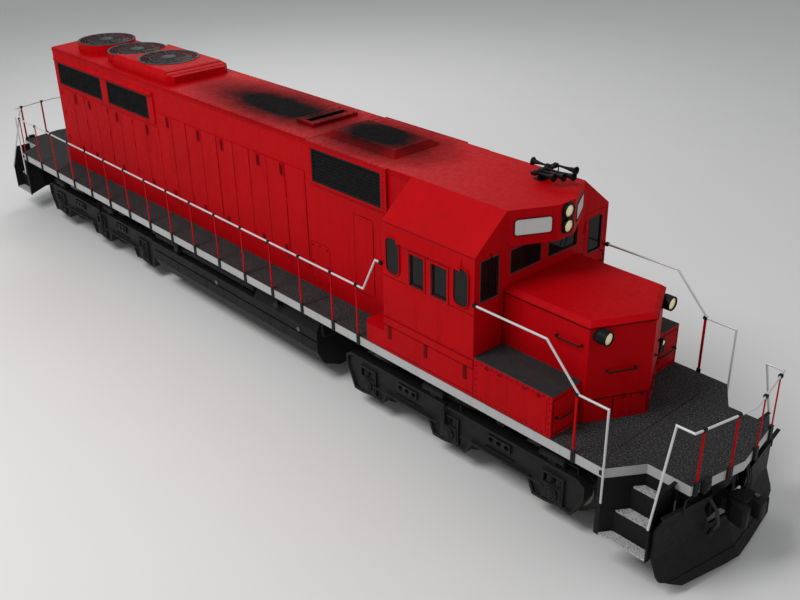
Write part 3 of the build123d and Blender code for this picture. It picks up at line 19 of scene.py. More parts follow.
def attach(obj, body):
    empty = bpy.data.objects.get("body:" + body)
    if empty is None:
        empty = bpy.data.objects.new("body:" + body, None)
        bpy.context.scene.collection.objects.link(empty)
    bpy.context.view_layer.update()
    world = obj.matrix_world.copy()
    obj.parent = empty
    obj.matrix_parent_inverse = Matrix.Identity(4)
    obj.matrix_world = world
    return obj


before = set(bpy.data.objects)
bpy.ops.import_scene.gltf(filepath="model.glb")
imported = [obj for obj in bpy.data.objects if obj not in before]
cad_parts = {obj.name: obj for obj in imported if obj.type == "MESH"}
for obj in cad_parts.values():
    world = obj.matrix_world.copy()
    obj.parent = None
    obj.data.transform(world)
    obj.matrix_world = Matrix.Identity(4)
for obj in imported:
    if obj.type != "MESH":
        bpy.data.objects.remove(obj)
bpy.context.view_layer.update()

LOG = logging.getLogger("locomotive")
Socket = bpy.types.NodeSocket
Colour = tuple[float, float, float]
Point = Sequence[float]
MAIN_BODY = "carbody"
UP = (0.0, 0.0, 1.0)
LEFT = (0.0, 1.0, 0.0)
AHEAD = (1.0, 0.0, 0.0)
BACK = (-1.0, 0.0, 0.0)


# ---- Node trees ----
class Tree:
    """Adds nodes to a shader or geometry tree and links them."""

    def __init__(self, tree: bpy.types.NodeTree) -> None:
        """Keeps the tree that the nodes go to."""
        self.tree = tree

    def add(self, kind: str, inputs: Optional[dict] = None, **settings: object) -> bpy.types.Node:
        """Adds one node.

        Args:
            kind: Blender's type name of the node.
            inputs: Value or source socket for each input, by name or number.
            **settings: Properties of the node itself.

        Returns:
            The new node.
        """
        node = self.tree.nodes.new(kind)
        for key, value in settings.items():
            setattr(node, key, value)
        for key, value in (inputs or {}).items():
            self.feed(node.inputs[key], value)
        return node

    def feed(self, socket: Socket, value: object) -> None:
        """Links a source socket to an input, or sets its value.

        Args:
            socket: The input.
            value: Its source socket, or its plain value.
        """
        if isinstance(value, Socket):
            self.tree.links.new(value, socket)
        else:
            socket.default_value = value

    def math(self, operation: str, first: object, second: object = 0.0, clamp: bool = False) -> Socket:
        """One arithmetic step."""
        values = {0: first, 1: second}
        return self.add("ShaderNodeMath", values, operation=operation, use_clamp=clamp).outputs[0]

    def plus(self, first: object, second: object, clamp: bool = False) -> Socket:
        """The sum of two values."""
        return self.math("ADD", first, second, clamp)

    def times(self, first: object, second: object, clamp: bool = False) -> Socket:
        """The product of two values."""
        return self.math("MULTIPLY", first, second, clamp)

    def arrow(self, operation: str, result: str, *values: object) -> Socket:
        """One step with vectors; result names the output that is read."""
        return self.add("ShaderNodeVectorMath", dict(enumerate(values)), operation=operation).outputs[result]

    def span(self, value: object, low: float, high: float, bottom: float = 0.0, top: float = 1.0) -> Socket:
        """Maps a value from the range low to high to the range bottom to top, clamped."""
        return self.add("ShaderNodeMapRange", {0: value, 1: low, 2: high, 3: bottom, 4: top}).outputs[0]

    def noise(self, vector: object, scale: object, detail: float = 3.0, rough: float = 0.55) -> Socket:
        """Noise from 0 to 1 on the given coordinates."""
        values = {"Vector": vector, "Scale": scale, "Detail": detail, "Roughness": rough}
        return self.add("ShaderNodeTexNoise", values).outputs[0]

    def blend(self, factor: object, first: object, second: object) -> Socket:
        """Mixes two colours."""
        return self.add("ShaderNodeMix", {0: factor, 6: first, 7: second}, data_type="RGBA").outputs[2]

    def bump(self, height: Socket, strength: float, distance: float, **more: Socket) -> Socket:
        """The normal of a surface that a height raises."""
        values = {"Strength": strength, "Distance": distance, "Height": height, **more}
        return self.add("ShaderNodeBump", values).outputs[0]

    def place(self) -> Socket:
        """Where a spot lies, in the piece's own metres."""
        return self.add("ShaderNodeTexCoord").outputs["Object"]

    def height(self, place: Socket) -> Socket:
        """How high a spot lies."""
        return self.add("ShaderNodeSeparateXYZ", {0: place}).outputs[2]

    def group(self, kind: type["Group"], **values: object) -> bpy.types.NodeOutputs:
        """Puts a shader group in the tree and returns its outputs."""
        return self.add("ShaderNodeGroup", values, node_tree=built(kind)).outputs


def rgba(colour: Colour, share: float = 1.0) -> tuple[float, float, float, float]:
    """The colour with full alpha, made paler or darker by a share."""
    return (*(min(1.0, part * share) for part in colour), 1.0)


class Group(Tree):
    """A node group with named inputs and outputs; each kind of group is built once.

    takes holds each input's default, or its socket type where it has no default.
    """

    title: ClassVar[str]
    kind: ClassVar[str] = "ShaderNodeTree"
    takes: ClassVar[dict[str, object]] = {}
    gives: ClassVar[dict[str, str]] = {"Mask": "NodeSocketFloat"}

    def __init__(self) -> None:
        """Makes the sockets and draws the nodes between them."""
        super().__init__(bpy.data.node_groups.new(self.title, self.kind))
        add_socket = self.tree.interface.new_socket
        for key, value in self.takes.items():
            if isinstance(value, str):
                add_socket(key, in_out="INPUT", socket_type=value)
                continue
            kind = "NodeSocketInt" if isinstance(value, int) else "NodeSocketFloat"
            add_socket(key, in_out="INPUT", socket_type=kind).default_value = value
        for key, kind in self.gives.items():
            add_socket(key, in_out="OUTPUT", socket_type=kind)
        self.given = self.add("NodeGroupInput").outputs
        self.add("NodeGroupOutput", self.draw())

    def draw(self) -> dict[str, Socket]:
        """Draws the nodes; returns the source of each output."""
        raise NotImplementedError


@cache
def built(kind: type[Group]) -> bpy.types.NodeTree:
    """The node tree of a kind of group, built at its first use."""
    return kind().tree


# ---- Effects that finishes share ----
class RoadDirtAndShade(Group):
    """A darkening that thickens downwards, and streaks that run down the sides: dust on most finishes,
    painted shade on the red paint.
    """

    title = "road_dirt_and_shade"
    takes = {"Low": 0.3, "High": 3.0, "Amount": 0.5, "Streaks": 0.3}

    def draw(self) -> dict[str, Socket]:
        """Draws clouds and specks that fade upwards, and the streaks.

        Returns:
            The mask of the dust and of the painted shade.
        """
        given = self.given
        place = self.place()
        values = {0: self.height(place), 1: given["High"], 2: given["Low"]}
        fall = self.add("ShaderNodeMapRange", values).outputs[0]
        cloud = self.span(self.noise(place, 2.1, 6.0, 0.62), 0.35, 0.72)
        speck = self.span(self.noise(place, 38.0), 0.42, 0.7)
        drawn = self.add("ShaderNodeMapping", {"Vector": place, "Scale": (9.0, 9.0, 0.45)}).outputs[0]
        streak = self.span(self.noise(drawn, 1.0, 4.0, 0.7), 0.52, 0.78)
        # On the red paint this mask is painted shade; on the other finishes it is dust.
        dust = self.times(self.math("MULTIPLY_ADD", cloud, 0.75), given["Amount"])
        dust = self.times(self.plus(dust, self.times(speck, 0.08)), fall)
        return {"Mask": self.plus(dust, self.times(streak, given["Streaks"]), clamp=True)}


class WornEdges(Group):
    """Rubbed edges, with the rounded normal that goes with them."""

    title = "worn_edges"
    takes = {"Radius": 0.006, "Amount": 0.6}
    gives = {"Mask": "NodeSocketFloat", "Normal": "NodeSocketVector"}

    def draw(self) -> dict[str, Socket]:
        """Finds the edges where the rounded normal leaves the face's own.

        Returns:
            The mask of the rubbed edges and the rounded normal.
        """
        rounded = self.add("ShaderNodeBevel", {"Radius": self.given["Radius"]}, samples=4).outputs[0]
        plain = self.add("ShaderNodeNewGeometry").outputs["Normal"]
        along = self.arrow("DOT_PRODUCT", "Value", rounded, plain)
        patch = self.span(self.noise(self.place(), 14.0, 5.0, 0.65), 0.42, 0.62)
        edge = self.times(self.span(along, 0.995, 0.86), patch)
        return {"Mask": self.times(edge, self.given["Amount"], clamp=True), "Normal": rounded}


class Grain(Group):
    """Fine surface grain over broad unevenness."""

    title = "grain"
    takes = {"Scale": 90.0, "Fine": 0.5, "Broad": 0.5}
    gives = {"Height": "NodeSocketFloat"}

    def draw(self) -> dict[str, Socket]:
        """Adds two noises, each by its own share.

        Returns:
            The height of the surface.
        """
        place = self.place()
        fine = self.times(self.noise(place, self.given["Scale"], 4.0, 0.6), self.given["Fine"])
        broad = self.times(self.noise(place, 1.7, 2.0, 0.4), self.given["Broad"])
        return {"Height": self.plus(fine, broad)}


class Soot(Group):
    """Exhaust soot on the roof, in two long patches behind and ahead of the stack."""

    title = "soot"
    takes = {"Amount": 1.0}
    # Patches.  columns: centre, half sizes (the wobble moves each patch by half its own reach)
    patches = (((0.45, 0.15, 4.46), (3.10, 1.10, 1.0)), ((3.30, 0.15, 4.50), (1.90, 1.15, 1.0)))
    wobble_reach = (0.55, 0.30, 0.0)
    roof_z = (4.30, 4.42)

    def draw(self) -> dict[str, Socket]:
        """Fades each patch outwards and keeps the soot to the roof.

        Returns:
            The mask of the soot.
        """
        place = self.place()
        values = {"Vector": place, "Scale": 2.4, "Detail": 4.0}
        wobble = self.add("ShaderNodeTexNoise", values).outputs["Color"]
        total: object = 0.0
        for centre, size in self.patches:
            off = self.arrow("SUBTRACT", "Vector", place, centre)
            off = self.arrow("MULTIPLY_ADD", "Vector", wobble, self.wobble_reach, off)
            reach = self.arrow("LENGTH", "Value", self.arrow("DIVIDE", "Vector", off, size))
            total = self.math("MAXIMUM", self.span(reach, 1.0, 0.32), total)
        top = self.span(self.height(place), *self.roof_z)
        return {"Mask": self.times(self.times(total, top), self.given["Amount"], clamp=True)}


# ---- Finishes ----
class Surface(Enum):
    """How a finish is broken up at hand's distance."""

    SMOOTH = "smooth"
    CAST = "cast"
    GRIT = "grit"


class Coat(Tree):
    """The node tree of a new material round its shader."""

    def __init__(self, name: str) -> None:
        """Starts the material.

        Args:
            name: Its name.
        """
        self.material = bpy.data.materials.new(name)
        self.material.use_nodes = True
        super().__init__(self.material.node_tree)

    def cover(self, **values: object) -> bpy.types.Material:
        """Feeds the shader.

        Args:
            **values: Value or source of each of its inputs, by name with _ for spaces.

        Returns:
            The finished material.
        """
        shader = self.tree.nodes["Principled BSDF"]
        for key, value in values.items():
            self.feed(shader.inputs[key.replace("_", " ")], value)
        return self.material


# Dirt on the road side of things, and pale dust
SOIL: Colour = (0.036, 0.031, 0.027)
DUST: Colour = (0.085, 0.07, 0.055)


@dataclass(frozen=True)
class Paint:
    """A painted or bare metal finish with worn edges, grain and a darkening towards the bottom.

    The darkening, grime on most finishes and painted shade on the red paint, thickens from
    dirt_and_shade_high down to dirt_and_shade_low, in metres above the floor.
    """

    name: str
    colour: Colour
    worn: Colour
    roughness: float = 0.38
    metallic: float = 0.0
    # The darkening towards the bottom: its colour, strength and reach; on the red paint it is painted shade.
    dirt_and_shade: Colour = SOIL
    dirt_and_shade_amount: float = 0.35
    dirt_and_shade_low: float = 0.4
    dirt_and_shade_high: float = 3.2
    streaks: float = 0.16
    wear: float = 0.5
    edge_radius: float = 0.006
    surface: Surface = Surface.SMOOTH
    bump: float = 0.05
    bump_depth: float = 0.002
    faded: Optional[Colour] = None
    specular: float = 0.5
    sooty: bool = False
    grain_scale: ClassVar[float] = 120.0
    soot_colour: ClassVar[Colour] = (0.0035, 0.0025, 0.0025)

    def build(self) -> bpy.types.Material:
        """Builds the material from its paint outwards: fading, wear, grime and painted shade, soot, then the
        surface.

        Returns:
            The material, ready to be put in a slot.
        """
        sheet = Coat(self.name)
        sheet.material.diffuse_color = rgba(self.colour)
        place = sheet.place()
        # Darkening towards the bottom and in streaks: grime on most finishes, painted shade on the red
        # paint.
        dirt_and_shade = sheet.group(RoadDirtAndShade, Low=self.dirt_and_shade_low, High=self.dirt_and_shade_high, Amount=self.dirt_and_shade_amount,
                           Streaks=self.streaks)["Mask"]
        edges = sheet.group(WornEdges, Radius=self.edge_radius, Amount=self.wear)
        patchy = sheet.span(sheet.noise(place, 0.9, 5.0, 0.6), 0.3, 0.75)
        faded = rgba(self.faded) if self.faded else rgba(self.colour, 1.35)
        colour = sheet.blend(patchy, rgba(self.colour), faded)
        colour = sheet.blend(edges["Mask"], colour, rgba(self.worn))
        colour = sheet.blend(dirt_and_shade, colour, rgba(self.dirt_and_shade))
        uneven = sheet.noise(place, 11.0, 5.0, 0.65)
        rough = sheet.span(uneven, 0.3, 0.75, self.roughness * 0.82, self.roughness * 1.3)
        rough = sheet.plus(rough, sheet.times(dirt_and_shade, 0.25), clamp=True)
        if self.sooty:
            soot = sheet.group(Soot)["Mask"]
            colour = sheet.blend(soot, colour, rgba(self.soot_colour))
            rough = sheet.plus(rough, sheet.times(soot, 0.35), clamp=True)
        height = sheet.group(Grain, Scale=self.grain_scale)["Height"]
        if self.surface is Surface.CAST:
            height = sheet.plus(height, sheet.times(sheet.noise(place, 26.0, 6.0, 0.7), 1.6))
        elif self.surface is Surface.GRIT:
            grit = sheet.span(sheet.noise(place, 46.0, 3.0, 0.7), 0.50, 0.66)
            height = sheet.plus(height, sheet.times(grit, 1.8))
            colour = sheet.blend(grit, colour, rgba(self.worn))
        normal = sheet.bump(height, self.bump, self.bump_depth, Normal=edges["Normal"])
        return sheet.cover(Base_Color=colour, Roughness=rough, Normal=normal, Metallic=self.metallic,
                           Coat_Roughness=0.12, Specular_IOR_Level=self.specular)


@dataclass(frozen=True)
class Glass:
    """Dark glass with a little dust."""

    name: str
    tint: Colour
    roughness: float
    transmission: float = 0.20
    dust: float = 0.10
    dust_colour: Colour = (0.055, 0.052, 0.050)

    def build(self) -> bpy.types.Material:
        """Builds the material.

        Returns:
            The material, ready to be put in a slot.
        """
        sheet = Coat(self.name)
        film = sheet.span(sheet.noise(sheet.place(), 6.0, 5.0, 0.6), 0.45, 0.8, 0.0, self.dust)
        colour = sheet.blend(film, rgba(self.tint), rgba(self.dust_colour))
        return sheet.cover(Base_Color=colour, Roughness=self.roughness, Specular_IOR_Level=0.10,
                           Transmission_Weight=self.transmission, IOR=1.45)


@dataclass(frozen=True)
class Lens:
    """A warm lamp lens with moulded ribs."""

    name: str
    colour: Colour
    glow: float

    def build(self) -> bpy.types.Material:
        """Builds the material.

        Returns:
            The material, ready to be put in a slot.
        """
        sheet = Coat(self.name)
        place = sheet.place()
        values = {"Vector": place, "Scale": 22.0, "Distortion": 0.0}
        ribs = sheet.add("ShaderNodeTexWave", values, bands_direction="Y").outputs["Fac"]
        tone = sheet.span(sheet.noise(place, 30.0), 0.3, 0.7)
        colour = sheet.blend(tone, rgba(self.colour), rgba(self.colour, 0.72))
        return sheet.cover(Base_Color=colour, Normal=sheet.bump(ribs, 0.35, 0.004), Emission_Color=colour,
                           Emission_Strength=self.glow, Roughness=0.12, Coat_Weight=1.0)


@dataclass(frozen=True)
class Cloth:
    """Woven or rubbery soft stuff."""

    name: str
    colour: Colour
    roughness: float = 0.85
    weave: float = 420.0

    def build(self) -> bpy.types.Material:
        """Builds the material.

        Returns:
            The material, ready to be put in a slot.
        """
        sheet = Coat(self.name)
        place = sheet.place()
        fine = sheet.noise(place, self.weave, 2.0)
        worn = sheet.span(sheet.noise(place, 9.0, 4.0), 0.4, 0.75)
        pale = tuple(min(1.0, part * 1.9 + 0.01) for part in self.colour)
        colour = sheet.blend(worn, rgba(self.colour), rgba(pale))
        rough = sheet.span(fine, 0.2, 0.8, self.roughness * 0.85, min(1.0, self.roughness * 1.1))
        return sheet.cover(Base_Color=colour, Roughness=rough, Normal=sheet.bump(fine, 0.3, 0.001))


RED: Colour = (0.50, 0.0010, 0.0040)
FINISHES = (
    # The red paint darkens to a deeper red towards the bottom and in streaks: painted shade, standing in for
    # the shade under handles and fittings.
    Paint("red_paint", RED, (0.13, 0.003, 0.004), roughness=0.50, specular=0.05, dirt_and_shade=(0.07, 0.003, 0.004),
          dirt_and_shade_amount=0.22, dirt_and_shade_high=2.6, streaks=0.26, wear=0.65, edge_radius=0.012,
          faded=(0.43, 0.0012, 0.004), sooty=True),
    # A darker copy of the red paint: painted shade, used on latch pans and handles, bolts, hinges and locker
    # latches.
    Paint("painted_shade_red", (0.115, 0.0016, 0.003), (0.05, 0.002, 0.003), roughness=0.5, specular=0.05,
          dirt_and_shade_amount=0.10, streaks=0.05, wear=0.2),
    Paint("pale_paint", (0.52, 0.525, 0.525), (0.20, 0.19, 0.18), roughness=0.45, dirt_and_shade=(0.12, 0.105, 0.09),
          dirt_and_shade_amount=0.16, dirt_and_shade_low=0.6, dirt_and_shade_high=3.6, wear=0.4, edge_radius=0.004,
          faded=(0.46, 0.46, 0.455)),
    Paint("rail_paint", (0.56, 0.57, 0.58), (0.16, 0.15, 0.15), roughness=0.35, metallic=0.15,
          dirt_and_shade=(0.12, 0.11, 0.10), dirt_and_shade_amount=0.10, streaks=0.08, wear=0.35, edge_radius=0.002),
    Paint("deck_tread", (0.020, 0.020, 0.021), (0.115, 0.115, 0.117), roughness=0.80, specular=0.10,
          dirt_and_shade_amount=0.10, dirt_and_shade_high=2.6, streaks=0.0, wear=0.2, surface=Surface.GRIT, bump=0.55,
          bump_depth=0.004, faded=(0.027, 0.027, 0.028)),
    Paint("box_tread", (0.026, 0.026, 0.027), (0.14, 0.14, 0.14), roughness=0.55, specular=0.2,
          dirt_and_shade_amount=0.08, dirt_and_shade_high=3.0, streaks=0.0, wear=0.6, bump=0.2, edge_radius=0.004),
    Paint("step_tread", (0.50, 0.50, 0.495), (0.050, 0.050, 0.050), roughness=0.65, specular=0.2,
          dirt_and_shade_amount=0.16, streaks=0.03, wear=0.15, surface=Surface.GRIT, bump=0.5, bump_depth=0.004),
    Paint("black_paint", (0.0050, 0.0050, 0.0054), (0.042, 0.040, 0.038), roughness=0.50, specular=0.14,
          dirt_and_shade_amount=0.10, dirt_and_shade_high=2.0, streaks=0.08, wear=0.55, faded=(0.0085, 0.0085, 0.0085)),
    Paint("grille_black", (0.0050, 0.0052, 0.0055), (0.12, 0.12, 0.12), roughness=0.55, specular=0.18,
          dirt_and_shade_amount=0.10, streaks=0.05, wear=0.80, edge_radius=0.003),
    Paint("engine_paint", (0.10, 0.115, 0.11), (0.20, 0.19, 0.17), roughness=0.5, dirt_and_shade=DUST,
          surface=Surface.CAST, bump=0.2),
    Paint("console_paint", (0.13, 0.17, 0.15), (0.25, 0.25, 0.24), roughness=0.5, dirt_and_shade=DUST),
    Paint("board_white", (0.64, 0.65, 0.64), (0.012, 0.012, 0.012), roughness=0.4, specular=0.2, dirt_and_shade=DUST,
          dirt_and_shade_amount=0.05, streaks=0.04, wear=0.6, edge_radius=0.008, faded=(0.60, 0.61, 0.60)),
    Paint("cast_steel", (0.0085, 0.0085, 0.0088), (0.058, 0.056, 0.053), roughness=0.55, specular=0.20,
          dirt_and_shade_amount=0.16, dirt_and_shade_high=1.7, streaks=0.08, wear=0.75, surface=Surface.CAST, bump=0.35,
          faded=(0.014, 0.014, 0.014)),
    Paint("wheel_steel", (0.055, 0.05, 0.047), (0.30, 0.29, 0.28), roughness=0.45, metallic=0.7,
          dirt_and_shade_amount=0.5, dirt_and_shade_high=1.6, wear=0.6, edge_radius=0.010),
    Paint("fan_metal", (0.21, 0.212, 0.215), (0.34, 0.34, 0.34), roughness=0.50, metallic=0.2, specular=0.2,
          dirt_and_shade_amount=0.1),
    Paint("guard_metal", (0.040, 0.041, 0.042), (0.13, 0.13, 0.13), roughness=0.55, specular=0.2,
          dirt_and_shade_amount=0.1, edge_radius=0.003),
    Paint("seam_black", (0.0035, 0.003, 0.003), (0.012, 0.012, 0.012), roughness=0.8, specular=0.05,
          dirt_and_shade_amount=0.05, streaks=0.0, wear=0.1),
    Paint("bright_steel", (0.20, 0.19, 0.18), (0.5, 0.5, 0.48), roughness=0.3, metallic=0.9, dirt_and_shade_amount=0.3,
          wear=0.6, edge_radius=0.002),
    Glass("clear_glass", (0.006, 0.0065, 0.007), roughness=0.08),
    Lens("lens_glass", (0.86, 0.74, 0.42), 0.30),
    Cloth("seat_fabric", (0.018, 0.018, 0.022)),
    Cloth("hose_rubber", (0.010, 0.010, 0.011), roughness=0.6, weave=160.0),
)
# The record's slot of each finish that isn't a slot itself
SLOTS = {"painted_shade_red": "red_paint", "rail_paint": "pale_paint", "box_tread": "deck_tread",
         "grille_black": "black_paint", "seam_black": "black_paint", "hose_rubber": "black_paint",
         "bright_steel": "cast_steel", "guard_metal": "fan_metal"}


@cache
def material(name: str) -> bpy.types.Material:
    """The material of a finish, built at its first use."""
    return next(finish for finish in FINISHES if finish.name == name).build()


# ---- Geometry trees ----
class Growth(Group):
    """A geometry tree that repeats a small part on seats."""

    kind = "GeometryNodeTree"
    gives = {"Geometry": "NodeSocketGeometry"}

    def finish(self, geometry: Socket) -> dict[str, Socket]:
        """Realizes the geometry and gives it its material.

        Args:
            geometry: The parts, as instances or as a mesh.

        Returns:
            The finished geometry.
        """
        real = self.add("GeometryNodeRealizeInstances", {"Geometry": geometry}).outputs[0]
        values = {"Geometry": real, "Material": self.given["Material"]}
        return {"Geometry": self.add("GeometryNodeSetMaterial", values).outputs[0]}

    def attribute(self, name: str, kind: str) -> Socket:
        """A value that each seat holds."""
        return self.add("GeometryNodeInputNamedAttribute", {"Name": name}, data_type=kind).outputs[0]

    def reach(self) -> Socket:
        """Each seat's own length or radius."""
        return self.attribute("reach", "FLOAT")

    def on_seats(self, part: Socket, scale: object = (1.0, 1.0, 1.0),
                 turn: Optional[Socket] = None) -> Socket:
        """Puts a part on every seat.

        Args:
            part: The part's geometry.
            scale: Its scale along its own axes.
            turn: Its rotation; without one its Z axis points along the seat's facing.

        Returns:
            The parts, still as instances.
        """
        if turn is None:
            facing = {"Vector": self.attribute("facing", "FLOAT_VECTOR")}
            turn = self.add("FunctionNodeAlignRotationToVector", facing, axis="Z").outputs[0]
        values = {"Points": self.given["Seats"], "Instance": part, "Rotation": turn, "Scale": scale}
        return self.add("GeometryNodeInstanceOnPoints", values).outputs[0]

    def circle(self, points: object, radius: object) -> Socket:
        """A circle as a curve."""
        values = {"Resolution": points, "Radius": radius}
        return self.add("GeometryNodeCurvePrimitiveCircle", values).outputs[0]

    def wire(self, curve: Socket, section: Socket, **more: bool) -> Socket:
        """A section drawn along a curve."""
        values = {"Curve": curve, "Profile Curve": section, **more}
        return self.add("GeometryNodeCurveToMesh", values).outputs[0]

    def vector(self, **parts: object) -> Socket:
        """A vector from its parts."""
        return self.add("ShaderNodeCombineXYZ", parts).outputs[0]


def seated(**sizes: float) -> dict[str, object]:
    """The inputs of a geometry tree that has these sizes."""
    return {"Seats": "NodeSocketGeometry", **sizes, "Material": "NodeSocketMaterial"}


class Tubes(Growth):
    """Round tubes along the seats' edges, with rounded bends."""

    title = "tubes"
    takes = seated(Radius=0.012, Bend=0.04, Sides=8)

    def draw(self) -> dict[str, Socket]:
        """Rounds the bends of each run and draws the tube along it.

        Returns:
            The finished geometry.
        """
        given = self.given
        curve = self.add("GeometryNodeMeshToCurve", {"Mesh": given["Seats"]}).outputs[0]
        values = {"Curve": curve, "Count": 3, "Radius": given["Bend"], "Limit Radius": True}
        curve = self.add("GeometryNodeFilletCurve", values, mode="POLY").outputs[0]
        section = self.circle(given["Sides"], given["Radius"])
        return self.finish(self.wire(curve, section, **{"Fill Caps": True}))


class Bolts(Growth):
    """Bolt heads on washers."""

    title = "bolts"
    takes = seated(Radius=0.012, Height=0.010, Sides=6)

    def cylinder(self, sides: object, radius: object, depth: object) -> Socket:
        """An upright cylinder."""
        values = {"Vertices": sides, "Radius": radius, "Depth": depth}
        return self.add("GeometryNodeMeshCylinder", values).outputs[0]

    def draw(self) -> dict[str, Socket]:
        """Lifts the head on its washer and puts both on the seats.

        Returns:
            The finished geometry.
        """
        radius, height = self.given["Radius"], self.given["Height"]
        head = self.cylinder(self.given["Sides"], radius, height)
        lift = self.vector(Z=self.times(height, 0.5))
        head = self.add("GeometryNodeTransform", {"Geometry": head, "Translation": lift}).outputs[0]
        washer = self.cylinder(10, self.times(radius, 1.45), self.times(height, 0.5))
        both = self.add("GeometryNodeJoinGeometry")
        for part in (head, washer):
            self.feed(both.inputs[0], part)
        return self.finish(self.on_seats(both.outputs[0]))


class Hoops(Growth):
    """Wire rings round the seats; each seat's reach is its ring's radius."""

    title = "hoops"
    takes = seated(Radius=0.005, Segments=48)

    def draw(self) -> dict[str, Socket]:
        """Scales a ring on each seat before the wire is drawn, so that the wire keeps its thickness.

        Returns:
            The finished geometry.
        """
        rings = self.on_seats(self.circle(self.given["Segments"], 1.0), self.reach())
        rings = self.add("GeometryNodeRealizeInstances", {"Geometry": rings}).outputs[0]
        return self.finish(self.wire(rings, self.circle(6, self.given["Radius"])))


class Coils(Growth):
    """Upright coil springs that stand on the seats."""

    title = "coils"
    takes = seated(Radius=0.06, Wire=0.014, Turns=5.0, Height=0.2)

    def draw(self) -> dict[str, Socket]:
        """Draws the wire along a spiral and puts it on the seats.

        Returns:
            The finished geometry.
        """
        given = self.given
        values = {"Resolution": 14, "Rotations": given["Turns"], "Start Radius": given["Radius"],
                  "End Radius": given["Radius"], "Height": given["Height"]}
        spiral = self.add("GeometryNodeCurveSpiral", values).outputs[0]
        coil = self.wire(spiral, self.circle(7, given["Wire"]), **{"Fill Caps": True})
        return self.finish(self.on_seats(coil))


class Bars(Growth):
    """Square bars centred on the seats; each seat's reach is its bar's length."""

    title = "bars"
    takes = seated(Width=0.006, Depth=0.006)

    def draw(self) -> dict[str, Socket]:
        """Scales a cube to each seat.

        Returns:
            The finished geometry.
        """
        cube = self.add("GeometryNodeMeshCube", {"Size": (1.0, 1.0, 1.0)}).outputs[0]
        size = self.vector(X=self.given["Width"], Y=self.given["Depth"], Z=self.reach())
        return self.finish(self.on_seats(cube, size))


class Lozenges(Growth):
    """Raised lozenges of a non-slip plate, turned alternately left and right."""

    title = "lozenges"
    takes = seated(Length=0.03, Width=0.008, Height=0.003)

    def draw(self) -> dict[str, Socket]:
        """Turns each lozenge by its seat's number.

        Returns:
            The finished geometry.
        """
        given = self.given
        values = {"Vertices": 6, "Radius Top": 0.55, "Radius Bottom": 1.0, "Depth": 1.0}
        shape = self.add("GeometryNodeMeshCone", values).outputs[0]
        odd = self.math("MODULO", self.add("GeometryNodeInputIndex").outputs[0], 2.0)
        turn = self.vector(Z=self.span(odd, 0.0, 1.0, math.radians(45), math.radians(-45)))
        size = self.vector(X=self.times(given["Length"], 0.5), Y=self.times(given["Width"], 0.5),
                           Z=given["Height"])
        return self.finish(self.on_seats(shape, size, turn))


# ---- Making pieces ----
class Draft:
    """Faces of one piece as they are drawn."""

    def __init__(self) -> None:
        """Starts with nothing."""
        self.bm = bmesh.new()

    def box(self, low: Point, high: Point) -> None:
        """Adds a box.

        Args:
            low: One corner.
            high: The opposite corner.
        """
        # A box of negative size would be inside out.
        low, high = (Vector(ends) for ends in zip(*map(sorted, zip(low, high))))
        for vertex in bmesh.ops.create_cube(self.bm, size=1.0)["verts"]:
            vertex.co = (low + high) / 2 + Vector(c * s for c, s in zip(vertex.co, high - low))

    def rod(self, start: Point, end: Point, radius: float, sides: int) -> None:
        """Adds a round bar.

        Args:
            start: Middle of one end.
            end: Middle of the other end.
            radius: Its radius.
            sides: Number of its faces.
        """
        start, end = Vector(start), Vector(end)
        turn = (end - start).to_track_quat("Z", "Y").to_matrix().to_4x4()
        place = Matrix.Translation((start + end) / 2) @ turn
        bmesh.ops.create_cone(self.bm, cap_ends=True, segments=sides, radius1=radius, radius2=radius,
                              depth=(end - start).length, matrix=place)

    def turned(self, centre: Point, axis: Point, profile: Sequence[tuple], sides: int) -> None:
        """Adds a solid turned about an axis.

        Args:
            centre: Where the profile starts on the axis.
            axis: The way of the axis.
            profile: Distance along the axis and radius of each corner; radius 0 is a point.
            sides: Number of faces round the axis.
        """
        turn = Vector(axis).to_track_quat("Z", "Y").to_matrix()
        rings = []
        for along, radius in profile:
            angles = [2 * math.pi * k / sides for k in range(sides if radius else 1)]
            spots = [Vector((radius * math.cos(a), radius * math.sin(a), along)) for a in angles]
            rings.append([self.bm.verts.new(Vector(centre) + turn @ spot) for spot in spots])
        for first, second in zip(rings, rings[1:]):
            for k in range(sides):
                n = (k + 1) % sides
                corners = (first[k % len(first)], first[n % len(first)],
                           second[n % len(second)], second[k % len(second)])
                self.bm.faces.new(dict.fromkeys(corners))
        for ring, order in ((rings[0], -1), (rings[-1], 1)):
            if len(ring) > 1:
                self.bm.faces.new(ring[::order])

    def mesh(self) -> bpy.types.Mesh:
        """Closes the draft.

        Returns:
            Its mesh, with all faces outwards.
        """
        bmesh.ops.recalc_face_normals(self.bm, faces=self.bm.faces[:])
        mesh = bpy.data.meshes.new("draft")
        self.bm.to_mesh(mesh)
        self.bm.free()
        return mesh


def link(name: str, data: bpy.types.ID) -> bpy.types.Object:
    """Puts an object with this data in the scene.

    Args:
        name: Name of the object.
        data: Its mesh, light or camera.

    Returns:
        The object.
    """
    item = bpy.data.objects.new(name, data)
    bpy.context.scene.collection.objects.link(item)
    return item


class Places(Enum):
    """Where a fitting stands: the signs of X and Y at each of its places."""

    ONCE = ((1, 1),)
    SIDES = ((1, 1), (1, -1))
    ENDS = ((1, 1), (-1, 1))
    CORNERS = ((1, 1), (1, -1), (-1, 1), (-1, -1))


